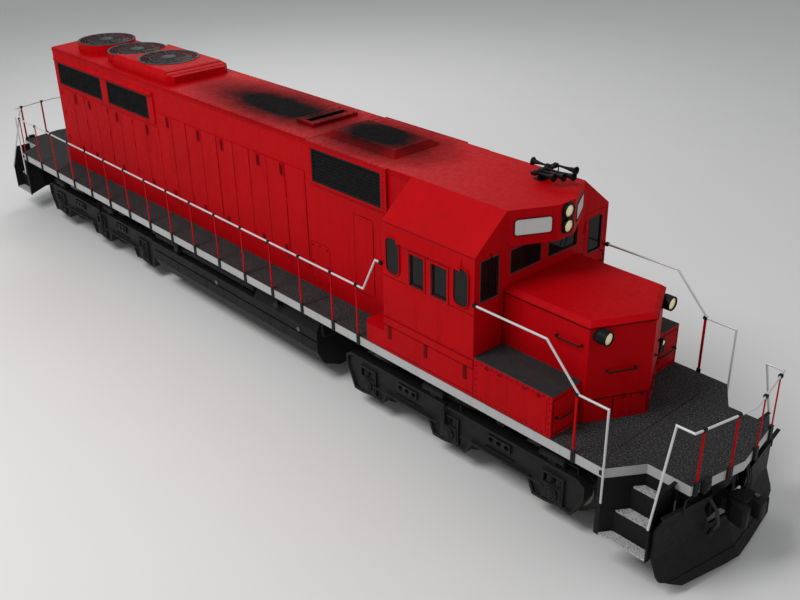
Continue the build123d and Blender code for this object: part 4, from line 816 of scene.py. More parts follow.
@dataclass
class Fitting:
    """Fittings of one kind and finish, gathered for each body that they ride on.

    The body is a name, or a function that tells it from a fitting's first point.
    """

    name: str
    paint: str
    smooth: bool = False
    bevel: float = 0.0
    places: Places = Places.SIDES
    body: Union[str, Callable[[Point], str]] = MAIN_BODY
    start: ClassVar[Callable] = list
    waiting: ClassVar[list["Fitting"]] = []

    def __post_init__(self) -> None:
        """Waits to be finished with the others of its sub-assembly."""
        self.gathered = defaultdict(self.start)
        self.waiting.append(self)

    def spread(self, *points: Point, at: Optional[Places] = None,
               body: Optional[str] = None) -> Iterator[tuple[object, list]]:
        """Mirrors a fitting to its places.

        Args:
            *points: Its points and directions.
            at: Its places, if not the ones of this kind.
            body: Its body, if not the one of this kind.

        Returns:
            For each place, what its body has gathered so far and the mirrored points.
        """
        for along, across in (at or self.places).value:
            placed = [(along * x, across * y, z) for x, y, z in points]
            owner = body or self.body
            yield self.gathered[owner(placed[0]) if callable(owner) else owner], placed

    def mesh(self, content: object) -> bpy.types.Mesh:
        """The mesh of what one body has gathered."""
        raise NotImplementedError

    def finish(self) -> None:
        """Makes one piece for each body, with its edges and body."""
        for body, content in sorted(self.gathered.items(), key=lambda pair: pair[0]):
            name = self.name if body == MAIN_BODY else f"{self.name}_{body}"
            mesh = self.mesh(content)
            mesh.name = name
            if not mesh.materials:
                mesh.materials.append(material(self.paint))
            mesh.polygons.foreach_set("use_smooth", [self.smooth] * len(mesh.polygons))
            piece = link(name, mesh)
            if self.bevel:
                rounded = piece.modifiers.new("edges", "BEVEL")
                rounded.width = self.bevel
                rounded.segments = 2
                rounded.limit_method = "ANGLE"
                rounded.angle_limit = math.radians(35)
            if self.smooth:
                mesh.set_sharp_from_angle(angle=math.radians(38))
            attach(piece, body)
            SLOTS.get(self.paint, self.paint)
            LOG.info("%s: %d faces on %s", name, len(mesh.polygons), body)

    @classmethod
    def finish_all(cls) -> None:
        """Makes the pieces of every fitting that waits."""
        while cls.waiting:
            cls.waiting.pop(0).finish()


@dataclass
class Batch(Fitting):
    """Fittings drawn as boxes, bars and turned solids."""

    start: ClassVar[Callable] = Draft

    def box(self, low: Point, high: Point, **where: object) -> None:
        """Adds a box between two corners."""
        for draft, corners in self.spread(low, high, **where):
            draft.box(*corners)

    def block(self, centre: Point, half: Point, **where: object) -> None:
        """Adds a box from its middle and its half sizes."""
        self.box([c - h for c, h in zip(centre, half)], [c + h for c, h in zip(centre, half)], **where)

    def rod(self, start: Point, end: Point, radius: float, sides: int = 12, **where: object) -> None:
        """Adds a round bar."""
        for draft, ends in self.spread(start, end, **where):
            draft.rod(*ends, radius, sides)

    def turned(self, profile: Sequence[tuple], centre: Point, axis: Point, sides: int = 24,
               **where: object) -> None:
        """Adds a solid turned about an axis from (distance along it, radius) pairs."""
        for draft, placed in self.spread(centre, axis, **where):
            draft.turned(*placed, profile, sides)

    def mesh(self, content: Draft) -> bpy.types.Mesh:
        """The mesh of one body's draft."""
        return content.mesh()


@dataclass
class Grown(Fitting):
    """Fittings that a geometry tree grows."""

    growth: type[Growth] = Bolts
    sizes: dict[str, float] = field(default_factory=dict)

    def grow(self, points: Sequence[Point], edges: Sequence[tuple], **values: list) -> bpy.types.Mesh:
        """Runs the tree on a mesh of seats.

        Args:
            points: Where the seats are.
            edges: Pairs of seats that are joined.
            **values: What each seat holds, by name; a list of vectors or of numbers.

        Returns:
            What has grown, as a plain mesh.
        """
        seats = bpy.data.meshes.new("seats")
        seats.from_pydata(points, edges, [])
        for key, held in values.items():
            if isinstance(held[0], tuple):
                attribute = seats.attributes.new(key, "FLOAT_VECTOR", "POINT")
                attribute.data.foreach_set("vector", [part for vector in held for part in vector])
            else:
                seats.attributes.new(key, "FLOAT", "POINT").data.foreach_set("value", held)
        holder = link("seats", seats)
        modifier = holder.modifiers.new("grown", "NODES")
        modifier.node_group = built(self.growth)
        sockets = {item.name: item.identifier for item in modifier.node_group.interface.items_tree
                   if item.in_out == "INPUT"}
        modifier[sockets["Material"]] = material(self.paint)
        for key, value in self.sizes.items():
            modifier[sockets[key]] = value
        grown = holder.evaluated_get(bpy.context.evaluated_depsgraph_get())
        mesh = bpy.data.meshes.new_from_object(grown)
        bpy.data.objects.remove(holder)
        bpy.data.meshes.remove(seats)
        return mesh


@dataclass
class Sown(Grown):
    """Small parts on seats; each seat has a place, a facing and a reach."""

    def seat(self, point: Point, facing: Point = UP, reach: float = 1.0, **where: object) -> None:
        """Adds one seat."""
        for seats, placed in self.spread(point, facing, **where):
            seats.append((*placed, reach))

    def row(self, start: Point, end: Point, count: int, facing: Point = UP, **where: object) -> None:
        """Adds a straight row of seats.

        Args:
            start: The first seat.
            end: The last seat.
            count: Number of seats.
            facing: Which way all of them face.
            **where: Places or body, if not the ones of this kind.
        """
        first, way = Vector(start), Vector(end) - Vector(start)
        for i in range(count):
            self.seat(first + way * (i / (count - 1)), facing, **where)

    def mesh(self, content: list) -> bpy.types.Mesh:
        """Grows the parts of one body."""
        points, facing, reach = zip(*content)
        return self.grow(points, [], facing=facing, reach=reach)


@dataclass
class Piping(Grown):
    """Tubes, rods and cables of one radius."""

    smooth: bool = True
    growth: type[Growth] = Tubes
    radius: float = 0.010
    bend: float = 0.04
    sides: int = 8

    def __post_init__(self) -> None:
        """Hands its sizes to the tree."""
        super().__post_init__()
        self.sizes = {"Radius": self.radius, "Bend": self.bend, "Sides": self.sides}

    def run(self, *points: Point, **where: object) -> None:
        """Adds one tube through the points."""
        for runs, placed in self.spread(*points, **where):
            runs.append(placed)

    def loop(self, *points: Point, **where: object) -> None:
        """Adds a tube that comes back to its first point."""
        self.run(*points, points[0], **where)

    def mesh(self, content: list) -> bpy.types.Mesh:
        """Grows the tubes of one body.

        Args:
            content: Its runs, each a list of points.

        Returns:
            The tubes.
        """
        points, edges = [], []
        for run in content:
            edges += [(len(points) + i, len(points) + i + 1) for i in range(len(run) - 1)]
            points += run
        return self.grow(points, edges)


def bolts(name: str, paint: str, radius: float, height: float, **settings: object) -> Sown:
    """Bolts of one size."""
    return Sown(name, paint, sizes={"Radius": radius, "Height": height}, **settings)


def window(x: float, y0: float, y1: float, z0: float, z1: float) -> tuple[Point, Point, Point, Point]:
    """Corners of an upright rectangle that faces along X."""
    return (x, y0, z0), (x, y1, z0), (x, y1, z1), (x, y0, z1)


def on_circle(count: int, start: float = 0.0) -> Iterator[tuple[float, float]]:
    """Points spread evenly round a unit circle, from a start angle in degrees."""
    angles = (math.radians(start + 360 * k / count) for k in range(count))
    return ((math.cos(angle), math.sin(angle)) for angle in angles)


# ---- Long hood ----
@dataclass
class HoodFittings:
    """Door sheets, latches, hinges, seams, wire mesh and bolts of the long hood."""

    # Y of the plain wall, of the tall doors' sheets and of the sheet below the filter housing
    face: float = 0.883
    sheet_y: float = 0.8865
    skin_y: float = 0.885
    # Y of the sheets' backs, on the wall and on a leaf
    wall_back: float = 0.874
    leaf_back: float = 0.8812
    # Swinging leaves, hinged alternately at their low and their high x.  columns: x from, x to
    leaves: tuple = ((-1.90, -1.34), (-1.34, -0.78), (0.30, 0.86), (0.86, 1.42))
    # Tall doors that stay shut.  columns: x from, x to
    shut: tuple = ((-3.006, -2.460), (-2.446, -1.912), (-0.766, -0.240), (-0.226, 0.288), (1.434, 2.000))
    door_z: tuple = (1.996, 3.836)
    # Latches of the doors.  columns: x, z of the upper one
    latches: tuple = ((-6.81, 3.36), (-6.13, 3.36), (-4.84, 3.35), (-3.51, 3.35), (-2.60, 3.71),
                      (-1.44, 3.69), (-0.60, 3.70), (0.60, 3.70), (1.32, 3.70))
    low_latch: float = 2.14
    # Openings with mesh.  columns: x from, x to, z from, z to, y of the mesh
    openings: tuple = ((-7.448, -5.402, 3.647, 4.088, 0.884), (-5.058, -3.352, 3.647, 4.088, 0.884),
                       (2.302, 4.028, 3.767, 4.303, 0.916))
    wire_pitch: float = 0.055
    wire: float = 0.0045
    # Bolts of the low hatch.  columns: x, z
    hatch_bolts: tuple = ((2.13, 2.49), (2.33, 2.51), (2.53, 2.49), (2.11, 2.16), (2.55, 2.16), (2.13, 1.83),
                          (2.33, 1.82), (2.53, 1.83))

    def build(self) -> None:
        """Makes every fitting of the hood."""
        self.hang_doors()
        self.hang_latches()
        self.string_mesh()
        self.seat_bolts()
        self.dress_front()
        self.furnish_rear()

    def body_at(self, point: Point) -> str:
        """The body that a spot of the hood's side belongs to.

        Args:
            point: The spot.

        Returns:
            The name of a leaf or of the main body.
        """
        for number, (low, high) in enumerate(self.leaves, start=1):
            if low < point[0] < high:
                return f"hood_door_{'left' if point[1] > 0 else 'right'}_{number}"
        return MAIN_BODY

    def hang_doors(self) -> None:
        """Sheets of the tall doors, on the wall and on the leaves."""
        sheets = Batch("door_sheets", "red_paint", bevel=0.0015, body=self.body_at)
        low, high = self.door_z
        for x0, x1 in self.shut:
            sheets.box((x0, self.wall_back, low), (x1, self.sheet_y, high))
        for number, (x0, x1) in enumerate(self.leaves):
            # The hinged edge keeps clear of the hinge's barrel.
            near, far = (0.006, 0.021) if number % 2 else (0.021, 0.006)
            sheets.box((x0 + near, self.leaf_back, low), (x1 - far, self.sheet_y, high))

    def hang_latches(self) -> None:
        """Sunk latches with a handle, high and low on the doors; the pans and handles are in a darkened red,
        painted shade of the recess.
        """
        rims = Batch("latch_rims", "red_paint", bevel=0.002, body=self.body_at)
        pans = Batch("latch_pans", "painted_shade_red", body=self.body_at)
        handles = Batch("latch_handles", "painted_shade_red", bevel=0.002, body=self.body_at)
        # Half width of the pan, width of the rim along X and along Z
        pan, post, rail = 0.040, 0.010, 0.012
        for x, high in self.latches:
            face = self.sheet_y if x > self.shut[0][0] else self.face
            near, far = face - 0.001, face + 0.010
            for z, half in ((high, 0.12), (self.low_latch, 0.105)):
                for low in (x - pan - post, x + pan):
                    rims.box((low, near, z - half), (low + post, far, z + half))
                for low in (z - half, z + half - rail):
                    rims.box((x - pan, near, low), (x + pan, far, low + rail))
                # The pan's darker red is painted shade in the recess.
                pans.box((x - pan, near, z - half + rail), (x + pan, face + 0.002, z + half - rail))
                handles.box((x - 0.010, near, z - half * 0.55), (x + 0.010, far + 0.004, z + half * 0.55))

    def string_mesh(self) -> None:
        """Wire mesh over the slats of the radiators and the filter, and the dark cores behind them."""
        mesh = Sown("side_mesh", "grille_black", growth=Bars, sizes={"Width": self.wire, "Depth": self.wire})
        cores = Batch("radiator_cores", "seam_black")
        for x0, x1, z0, z1, y in self.openings:
            wide, tall = x1 - x0, z1 - z0
            count = int(wide / self.wire_pitch)
            for i in range(1, count):
                mesh.seat((x0 + wide * i / count, y, (z0 + z1) / 2), UP, tall)
            count = int(tall / self.wire_pitch)
            for i in range(1, count):
                mesh.seat(((x0 + x1) / 2, y + self.wire, z0 + tall * i / count), AHEAD, wide)
            cores.box((x0 - 0.03, 0.80, z0 - 0.02), (x1 + 0.03, 0.81, z1 + 0.02))

    def seat_bolts(self) -> None:
        """Bolts along the roof's edges and round the openings."""
        rows = bolts("hood_bolts", "red_paint", 0.010, 0.007)
        rows.row((-7.60, 0.835, 4.44), (2.05, 0.835, 4.44), 66)
        rows.row((2.22, 0.885, 4.44), (4.12, 0.885, 4.44), 14)
        for x0, x1, z0, z1, _ in self.openings[:2]:
            for z in (z0 - 0.055, z1 + 0.060):
                rows.row((x0, 0.897, z), (x1, 0.897, z), 15, LEFT)
        x0, x1, z0, z1, _ = self.openings[2]
        for x in (x0 - 0.09, x1 + 0.09):
            rows.row((x, 0.925, z0), (x, 0.925, z1), 6, LEFT)

    def dress_front(self) -> None:
        """The sheet below the filter housing with its door and hatch, and hinges of the plain doors."""
        skins = Batch("hood_skins", "red_paint", bevel=0.002)
        skins.box((2.02, self.wall_back, 1.652), (4.728, self.skin_y, 3.712))
        skins.box((3.315, self.skin_y, 2.015), (3.795, self.skin_y + 0.005, 3.425))
        seams = Piping("hood_seams", "seam_black", radius=0.0035, bend=0.07, sides=6)
        outlines = (((3.308, 2.008), (3.802, 2.008), (3.802, 3.432), (3.308, 3.432)),
                    ((2.33, 2.56), (2.60, 2.56), (2.60, 1.76), (2.06, 1.76), (2.06, 2.56), (2.32, 2.56)))
        for outline in outlines:
            seams.loop(*((x, self.skin_y + 0.0005, z) for x, z in outline))
        # A joint across the roof
        seams.run((2.13, -0.86, 4.4405), (2.13, 0.86, 4.4405), at=Places.ONCE)
        # The darker red of these bolts is painted shade.
        dots = bolts("hatch_bolts", "painted_shade_red", 0.013, 0.008)
        for x, z in self.hatch_bolts:
            dots.seat((x, self.skin_y + 0.0005, z), LEFT)
        hinges = Batch("door_hinges", "red_paint", smooth=True)
        for x in (-7.50, -6.38, -5.26, -4.14, -3.02, 3.31):
            for z in (2.30, 2.90, 3.40):
                hinges.rod((x, 0.889, z - 0.055), (x, 0.889, z + 0.055), 0.011, 10)

    def furnish_rear(self) -> None:
        """Twin lamps high on the rear wall and rungs beside them."""
        cans = Batch("rear_lamp_cans", "black_paint", True, 0.004, Places.ONCE)
        lenses = Batch("rear_lamp_lenses", "lens_glass", True, places=Places.ONCE)
        cans.box((-7.895, -0.124, 3.845), (-7.825, 0.124, 4.325))
        hood = ((0.0, 0.0), (0.0, 0.104), (0.045, 0.104), (0.045, 0.090), (0.020, 0.088), (0.020, 0.0))
        for z in (3.970, 4.200):
            cans.turned(hood, (-7.893, 0.0, z), BACK, 32)
            lenses.turned(((0.0, 0.087), (0.010, 0.070), (0.016, 0.0)), (-7.914, 0.0, z), BACK, 32)
        rungs = Piping("rear_rungs", "black_paint", places=Places.ONCE, radius=0.011, bend=0.02)
        for z in (2.05, 2.40, 2.75, 3.10, 3.45, 3.80, 4.15):
            rungs.run((-7.776, -0.44, z), (-7.846, -0.44, z), (-7.782, -0.77, z), (-7.712, -0.77, z))


# ---- Roof ----
@dataclass
class RoofFittings:
    """Wire rings of the fan guards, bolts round the drums and hatches, and the stack's throat."""

    # Fans.  columns: x, top of the guard, outer radius
    fans: tuple = ((-6.575, 4.652, 0.605), (-5.155, 4.652, 0.605), (-3.80, 4.697, 0.60))
    rings: int = 8
    inner_ring: float = 0.17
    drum_radius: float = 0.652

    def build(self) -> None:
        """Makes every fitting of the roof."""
        self.bend_guards()
        self.seat_bolts()
        self.darken_stack()

    def bend_guards(self) -> None:
        """Concentric wires over each fan and a cap in their middle."""
        rings = Sown("guard_rings", "guard_metal", True, places=Places.ONCE, growth=Hoops,
                     sizes={"Radius": 0.0055, "Segments": 56})
        caps = Batch("fan_caps", "guard_metal", True, places=Places.ONCE)
        for x, top, outer in self.fans:
            for i in range(self.rings):
                radius = self.inner_ring + (outer - self.inner_ring) * i / (self.rings - 1)
                rings.seat((x, 0.0, top - 0.006), UP, radius)
            caps.turned(((0.0, 0.148), (0.012, 0.145), (0.022, 0.10), (0.026, 0.0)), (x, 0, top), UP, 32)

    def seat_bolts(self) -> None:
        """Bolts round the fan drums, the big hatch, the low hatch and the stack."""
        rows = bolts("roof_bolts", "red_paint", 0.011, 0.008)
        for x, _, _ in self.fans[:2]:
            for along, across in on_circle(24):
                spot = (x + self.drum_radius * along, self.drum_radius * across, 4.50)
                rows.seat(spot, (along, across, 0), at=Places.ONCE)
        rows.row((-4.80, 0.741, 4.49), (-2.80, 0.741, 4.49), 15, LEFT)
        rows.row((2.25, 0.56, 4.44), (3.85, 0.56, 4.44), 11)
        # The darker red of these bolts is painted shade.
        clamps = bolts("stack_bolts", "painted_shade_red", 0.013, 0.010, places=Places.ONCE)
        for x in (1.25, 1.655):
            clamps.row((x, -0.34, 4.50), (x, 0.56, 4.50), 7)

    def darken_stack(self) -> None:
        """The sooty throat inside the stack's slot."""
        throat = Batch("stack_throat", "seam_black", places=Places.ONCE)
        throat.box((1.380, -0.325, 4.441), (1.540, 0.545, 4.445))
        for x in (1.384, 1.532):
            throat.box((x, -0.325, 4.441), (x + 0.004, 0.545, 4.4995))


# ---- Cab ----
@dataclass
class CabFittings:
    """Gaskets, wipers, latches, handles, hinge straps and seams of the cab and its doors."""

    # Panes in the sides.  columns: x from, x to, z from, z to
    side_panes: tuple = ((5.342, 5.660, 3.035, 3.560), (5.813, 6.146, 3.035, 3.560))
    # Panes in the ends.  columns: x of the wall, way it faces, y from, y to, z from, z to
    end_panes: tuple = ((6.690, 1, 0.085, 0.760, 3.420, 3.800), (6.690, 1, -0.760, -0.085, 3.420, 3.800),
                        (6.690, 1, -1.385, -1.000, 3.175, 3.820), (4.730, -1, 1.000, 1.385, 3.175, 3.820))
    # Doors.  columns: body, x of the wall, way it faces
    doors: tuple = (("cab_door_front", 6.690, 1), ("cab_door_rear", 4.730, -1))
    front_x: float = 6.690
    side_y: float = 1.505
    # Middle of the left number board, and half its width along X and Y
    board_middle: Point = (6.8775, 0.5175, 4.170)
    board_half: Point = (0.136, 0.248)
    # Seams along both sides.  columns: x from, x to, y, z
    seams: tuple = ((4.735, 6.685, 1.5155, 2.138), (4.735, 6.685, 1.5155, 2.280),
                    (4.735, 5.30, 1.506, 3.010), (6.19, 6.685, 1.506, 3.010),
                    (4.735, 6.685, 1.506, 1.700), (4.735, 6.685, 1.506, 3.905))

    def build(self) -> None:
        """Makes every fitting of the cab."""
        self.line_windows()
        self.rim_boards()
        self.hang_wipers()
        self.latch_lockers()
        self.furnish_doors()
        self.line_sides()
        self.furnish_inside()

    def line_windows(self) -> None:
        """Black gaskets with grey frames inside them."""
        gaskets = Piping("window_gaskets", "hose_rubber", bend=0.02, sides=6)
        frames = Piping("window_frames", "black_paint", radius=0.008, bend=0.01, sides=4)
        inset = 0.02
        for x0, x1, z0, z1 in self.side_panes:
            corners = ((x0, z0, 1, 1), (x1, z0, -1, 1), (x1, z1, -1, -1), (x0, z1, 1, -1))
            gaskets.loop(*((x, 1.500, z) for x, z, _, _ in corners))
            frames.loop(*((x + inset * right, 1.478, z + inset * up) for x, z, right, up in corners))
            frames.run((x0, 1.512, z0 + 0.004), (x1, 1.512, z0 + 0.004))
        for x, way, y0, y1, z0, z1 in self.end_panes:
            gaskets.loop(*window(x - way * 0.004, y0, y1, z0, z1), at=Places.ONCE)
            inner = window(x - way * 0.026, y0 + inset, y1 - inset, z0 + inset, z1 - inset)
            frames.loop(*inner, at=Places.ONCE)

    def rim_boards(self) -> None:
        """Dark rims round the number boards."""
        rims = Piping("board_rims", "seam_black", radius=0.006, bend=0.045, sides=6)
        x, y, z = self.board_middle
        run_x, run_y = self.board_half
        rims.loop(*((x + 0.0105 - along * run_x, y + 0.006 + along * run_y, z + up * 0.123)
                    for along, up in ((-1, -1), (1, -1), (1, 1), (-1, 1))))

    def hang_wipers(self) -> None:
        """One wiper on each centre pane and on the front right pane."""
        arms = Piping("wipers", "seam_black", places=Places.ONCE, radius=0.006, bend=0.01, sides=6)
        x = self.front_x + 0.012
        for y, low, high in ((0.42, 3.47, 3.83), (-0.42, 3.47, 3.83), (-1.19, 3.35, 3.86)):
            arms.run((self.front_x, y, high + 0.03), (x + 0.006, y, high + 0.03), (x, y + 0.07, low + 0.10))
            arms.run((x - 0.006, y + 0.02, low), (x - 0.006, y + 0.12, low + 0.24))

    def latch_lockers(self) -> None:
        """Latches of the lockers below the windows."""
        # The darker red of these latches is painted shade.
        latches = Batch("locker_latches", "painted_shade_red", bevel=0.002)
        for x in (4.86, 5.68, 6.52):
            latches.box((x - 0.034, self.side_y, 1.90), (x + 0.034, self.side_y + 0.010, 2.120))

    def furnish_doors(self) -> None:
        """A handle and a pane gasket on each cab door; they swing with it."""
        handles = Piping("door_handles", "black_paint", places=Places.ONCE, bend=0.02)
        gaskets = Piping("door_gaskets", "hose_rubber", places=Places.ONCE, bend=0.02, sides=6)
        for body, x, way in self.doors:
            y, out = way * 1.385, x + way * 0.05
            handles.run((x, y, 2.95), (out, y, 2.95), (out, y, 3.13), (x, y, 3.13), body=body)
            gaskets.loop(*window(x, way * 1.05, way * 1.36, 3.175, 3.76), body=body)

    def line_sides(self) -> None:
        """Seams, bolts of the nose-side corners and brackets of the visors."""
        seams = Piping("cab_seams", "seam_black", radius=0.0035, bend=0.0, sides=6)
        for x0, x1, y, z in self.seams:
            seams.run((x0, y, z), (x1, y, z))
        seams.run((6.6915, 0.882, 2.34), (6.6915, 0.882, 3.25))
        # The darker red of these bolts is painted shade.
        dots = bolts("cab_bolts", "painted_shade_red", 0.009, 0.006)
        dots.row((6.691, 0.915, 2.45), (6.691, 0.915, 3.20), 9, AHEAD)
        drips = Batch("visor_brackets", "red_paint", bevel=0.002)
        for x in (5.10, 5.74, 6.40):
            drips.box((x - 0.006, self.side_y, 3.60), (x + 0.006, 1.530, 3.67))

    def furnish_inside(self) -> None:
        """Instruments, levers and a shelf that show through the windows."""
        black = Batch("cab_instruments", "seam_black", bevel=0.003, places=Places.ONCE)
        for y in (-0.72, -0.60, -0.48):
            black.rod((6.26, y, 3.20), (6.245, y, 3.22), 0.045, 16)
        for y in (-0.66, -0.52):
            black.rod((6.12, y, 3.12), (6.04, y, 3.26), 0.010, 8)
            black.rod((6.04, y, 3.26), (6.03, y, 3.275), 0.022, 10)
        black.box((4.80, 0.20, 3.55), (5.00, 0.80, 3.60))


# ---- Short hood and its boxes ----
@dataclass
class NoseFittings:
    """Grab irons, hatches, seams, tread plates and lamps of the short hood and the boxes beside it."""

    half_w: float = 0.875
    corner_x: float = 8.250
    apex_x: float = 8.715
    top: float = 3.260
    hatch_z: tuple = (1.700, 2.030)
    # The boxes' front and side faces, and how far their tread reaches
    box_x: float = 8.175
    box_y: float = 1.500
    tread_x: tuple = (6.72, 8.15)
    tread_y: tuple = (0.90, 1.475)
    tread_z: float = 2.3295
    # Numbers of lozenges along and across a box
    studs: tuple = (49, 21)

    def build(self) -> None:
        """Makes every fitting of the short hood."""
        self.weld_grabs()
        self.line_seams()
        self.stud_boxes()
        self.bolt_boxes()
        self.light_boxes()

    def on_face(self, share: float, z: float, off: float = 0.0) -> Point:
        """A point on the left front face.

        Args:
            share: How far it lies from the middle edge to the corner.
            z: Its height.
            off: How far it stands out from the face.

        Returns:
            The point.
        """
        run_x, run_y = self.corner_x - self.apex_x, self.half_w
        length = math.hypot(run_x, run_y)
        return (self.apex_x + share * run_x + off * run_y / length, share * run_y - off * run_x / length, z)

    def weld_grabs(self) -> None:
        """Black grab irons on the sides, the front faces and the boxes."""
        grabs = Piping("grab_irons", "black_paint", radius=0.012, bend=0.02)
        shoes = Batch("grab_shoes", "black_paint", bevel=0.002)
        side, z, out = self.half_w, 2.475, 0.065
        irons = (((7.70, side, 2.88), (7.70, side + out, 2.88), (8.14, side + out, 2.88),
                  (8.14, side, 2.88)),
                 (self.on_face(0.70, z), self.on_face(0.70, z, out), self.on_face(0.26, z, out),
                  self.on_face(0.26, z)),
                 ((self.box_x, 1.40, 1.96), (self.box_x + out, 1.40, 1.96), (self.box_x + out, 0.96, 1.96),
                  (self.box_x, 0.96, 1.96)))
        for iron in irons:
            grabs.run(*iron)
            for foot in (iron[0], iron[-1]):
                shoes.block(foot, (0.018, 0.018, 0.018))

    def line_seams(self) -> None:
        """Drip seam below the cap, outlines of the low hatches and box doors, and their hinges."""
        seams = Piping("nose_seams", "seam_black", radius=0.006, bend=0.0, sides=6)
        z, out = self.top - 0.082, 0.012
        low, high = self.hatch_z
        seams.run((6.70, self.half_w + out, z), (8.25, self.half_w + out, z), (self.apex_x + out, 0.0, z))
        seams.run(self.on_face(0.02, high, 0.002), self.on_face(0.98, high, 0.002))
        for share in (0.02, 0.28, 0.56):
            seams.run(self.on_face(share, low, 0.002), self.on_face(share, high, 0.002))
        seams.run(*window(self.box_x + 0.0005, 0.90, 1.47, 1.70, 2.26))
        # The darker red of these hinges is painted shade.
        hinges = Batch("nose_hinges", "painted_shade_red", bevel=0.002)
        for share in (0.10, 0.40, 0.80):
            hinges.block(self.on_face(share, high, 0.006), (0.02, 0.035, 0.020))
        for x in (6.95, 7.20, 7.68, 7.93):
            hinges.box((x - 0.035, self.box_y, 2.236), (x + 0.035, self.box_y + 0.012, 2.262))

    def stud_boxes(self) -> None:
        """Raised lozenges on the tops of the boxes, with a rim round them."""
        (x0, x1), (y0, y1), (columns, rows) = self.tread_x, self.tread_y, self.studs
        for side, way in (("left", 1), ("right", -1)):
            plate = Sown(f"box_studs_{side}", "box_tread", places=Places.ONCE, growth=Lozenges,
                         sizes={"Length": 0.034, "Width": 0.010, "Height": 0.004})
            for i in range(columns):
                x = x0 + (x1 - x0) * i / (columns - 1)
                plate.row((x, way * y0, self.tread_z), (x, way * y1, self.tread_z), rows)
        rims = Batch("box_rims", "box_tread", bevel=0.002)
        rims.box((6.692, 1.494, 2.322), (8.177, 1.5005, 2.333))
        rims.box((8.170, 0.876, 2.322), (8.1775, 1.5005, 2.333))

    def bolt_boxes(self) -> None:
        """Bolts round the sides and ends of the boxes, in a darkened red that is painted shade."""
        rows = bolts("box_bolts", "painted_shade_red", 0.008, 0.006)
        for z in (1.695, 2.285):
            rows.row((6.76, self.box_y, z), (8.12, self.box_y, z), 15, LEFT)
        for x in (6.74, 8.13):
            rows.row((x, self.box_y, 1.77), (x, self.box_y, 2.21), 5, LEFT)
        for y in (0.93, 1.46):
            rows.row((self.box_x, y, 1.72), (self.box_x, y, 2.26), 6, AHEAD)

    def light_boxes(self) -> None:
        """A small marker lamp on the left box and rims round the lamps beside the nose."""
        cans = Batch("marker_cans", "black_paint", True, places=Places.ONCE)
        can = ((0.0, 0.0), (0.0, 0.060), (0.05, 0.072), (0.06, 0.072), (0.06, 0.056), (0.04, 0.0))
        cans.turned(can, (8.174, 1.03, 2.20), AHEAD)
        cans.box((8.17, 0.98, 2.02), (8.22, 1.09, 2.10))
        glass = Batch("marker_lenses", "lens_glass", True, places=Places.ONCE)
        glass.turned(((0.0, 0.055), (0.012, 0.048), (0.018, 0.0)), (8.214, 1.03, 2.20), AHEAD)
        rims = Sown("lamp_rims", "black_paint", True, growth=Hoops, sizes={"Radius": 0.007, "Segments": 32})
        rims.seat((8.481, 0.740, 3.060), AHEAD, 0.100)


# ---- Walkway and rails ----
@dataclass
class WalkwayFittings:
    """Dark brackets and clamps of the posts, the posts beside the cab, deck seams and control boxes."""

    rail_y: float = 1.517
    # Posts of each side
    first_post: float = -8.861
    post_pitch: float = 0.8765
    post_count: int = 15
    nose_post: float = 8.590
    cab_post: float = 4.071
    rail_z: float = 2.585
    end_rail_z: float = 2.505
    # Posts of the ends.  columns: x, y, x of the bracket's middle, its half depth
    end_posts: tuple = ((10.143, 0.926, 10.137, 0.024), (10.268, 0.320, 10.254, 0.031))
    # Seams of the deck's plates.  columns: their x; y from, y to
    deck_seams: tuple = (((-8.2, -6.4, -4.6, -2.8, -1.0, 0.8, 2.6), 0.876, 1.50),
                         ((-9.3, 8.95), -0.95, 0.95))
    seam_z: tuple = (1.6502, 1.6512)

    def build(self) -> None:
        """Makes every fitting of the walkway."""
        self.dress_posts()
        self.line_deck()
        self.fit_boxes()

    def dress_posts(self) -> None:
        """Brackets on the sill, clamps on the rails and the posts beside the cab."""
        shoes = Batch("post_brackets", "cast_steel", bevel=0.003)
        clamps = Batch("rail_clamps", "black_paint", bevel=0.003)
        posts = Batch("short_posts", "red_paint", bevel=0.002)
        dots = bolts("bracket_bolts", "cast_steel", 0.010, 0.008)
        row = (self.first_post + i * self.post_pitch for i in range(self.post_count))
        for x in (*row, self.nose_post, self.cab_post):
            shoes.box((x - 0.034, 1.504, 1.484), (x + 0.034, 1.529, 1.700))
            clamps.block((x, self.rail_y, self.rail_z), (0.032, 0.024, 0.026))
            for z in (1.53, 1.62):
                dots.seat((x, 1.529, z), LEFT)
        posts.box((self.cab_post - 0.020, 1.511, 1.65), (self.cab_post + 0.020, 1.525, 2.570))
        for x in (4.705, 6.715):
            clamps.block((x, self.rail_y, 3.195), (0.030, 0.028, 0.028))
        corners = Places.CORNERS
        for x, y, middle, half in self.end_posts:
            clamps.block((x, y, self.end_rail_z), (0.026, 0.032, 0.026), at=corners)
            shoes.block((middle, y, 1.590), (half, 0.036, 0.107), at=corners)
        for z in (1.135, 1.565):
            shoes.block((9.067, 1.515, z), (0.025, 0.012, 0.033), at=corners)

    def line_deck(self) -> None:
        """Seams between the deck's plates and a bead along its edge."""
        seams = Batch("deck_seams", "seam_black")
        low, high = self.seam_z
        for (places, y0, y1), at in zip(self.deck_seams, (Places.SIDES, Places.ONCE)):
            for x in places:
                seams.box((x - 0.004, y0, low), (x + 0.004, y1, high), at=at)
        beads = Sown("sill_welds", "pale_paint", growth=Bars, sizes={"Width": 0.006, "Depth": 0.006})
        for z in (1.6405, 1.4905):
            beads.seat((0.0, 1.5055, z), AHEAD, 18.18)

    def fit_boxes(self) -> None:
        """Control-line boxes with their lids on both ends."""
        boxes = Batch("control_boxes", "cast_steel", bevel=0.006, places=Places.ENDS)
        boxes.box((10.145, -0.85, 1.50), (10.225, -0.70, 1.71))
        boxes.box((10.215, -0.83, 1.53), (10.240, -0.72, 1.65))


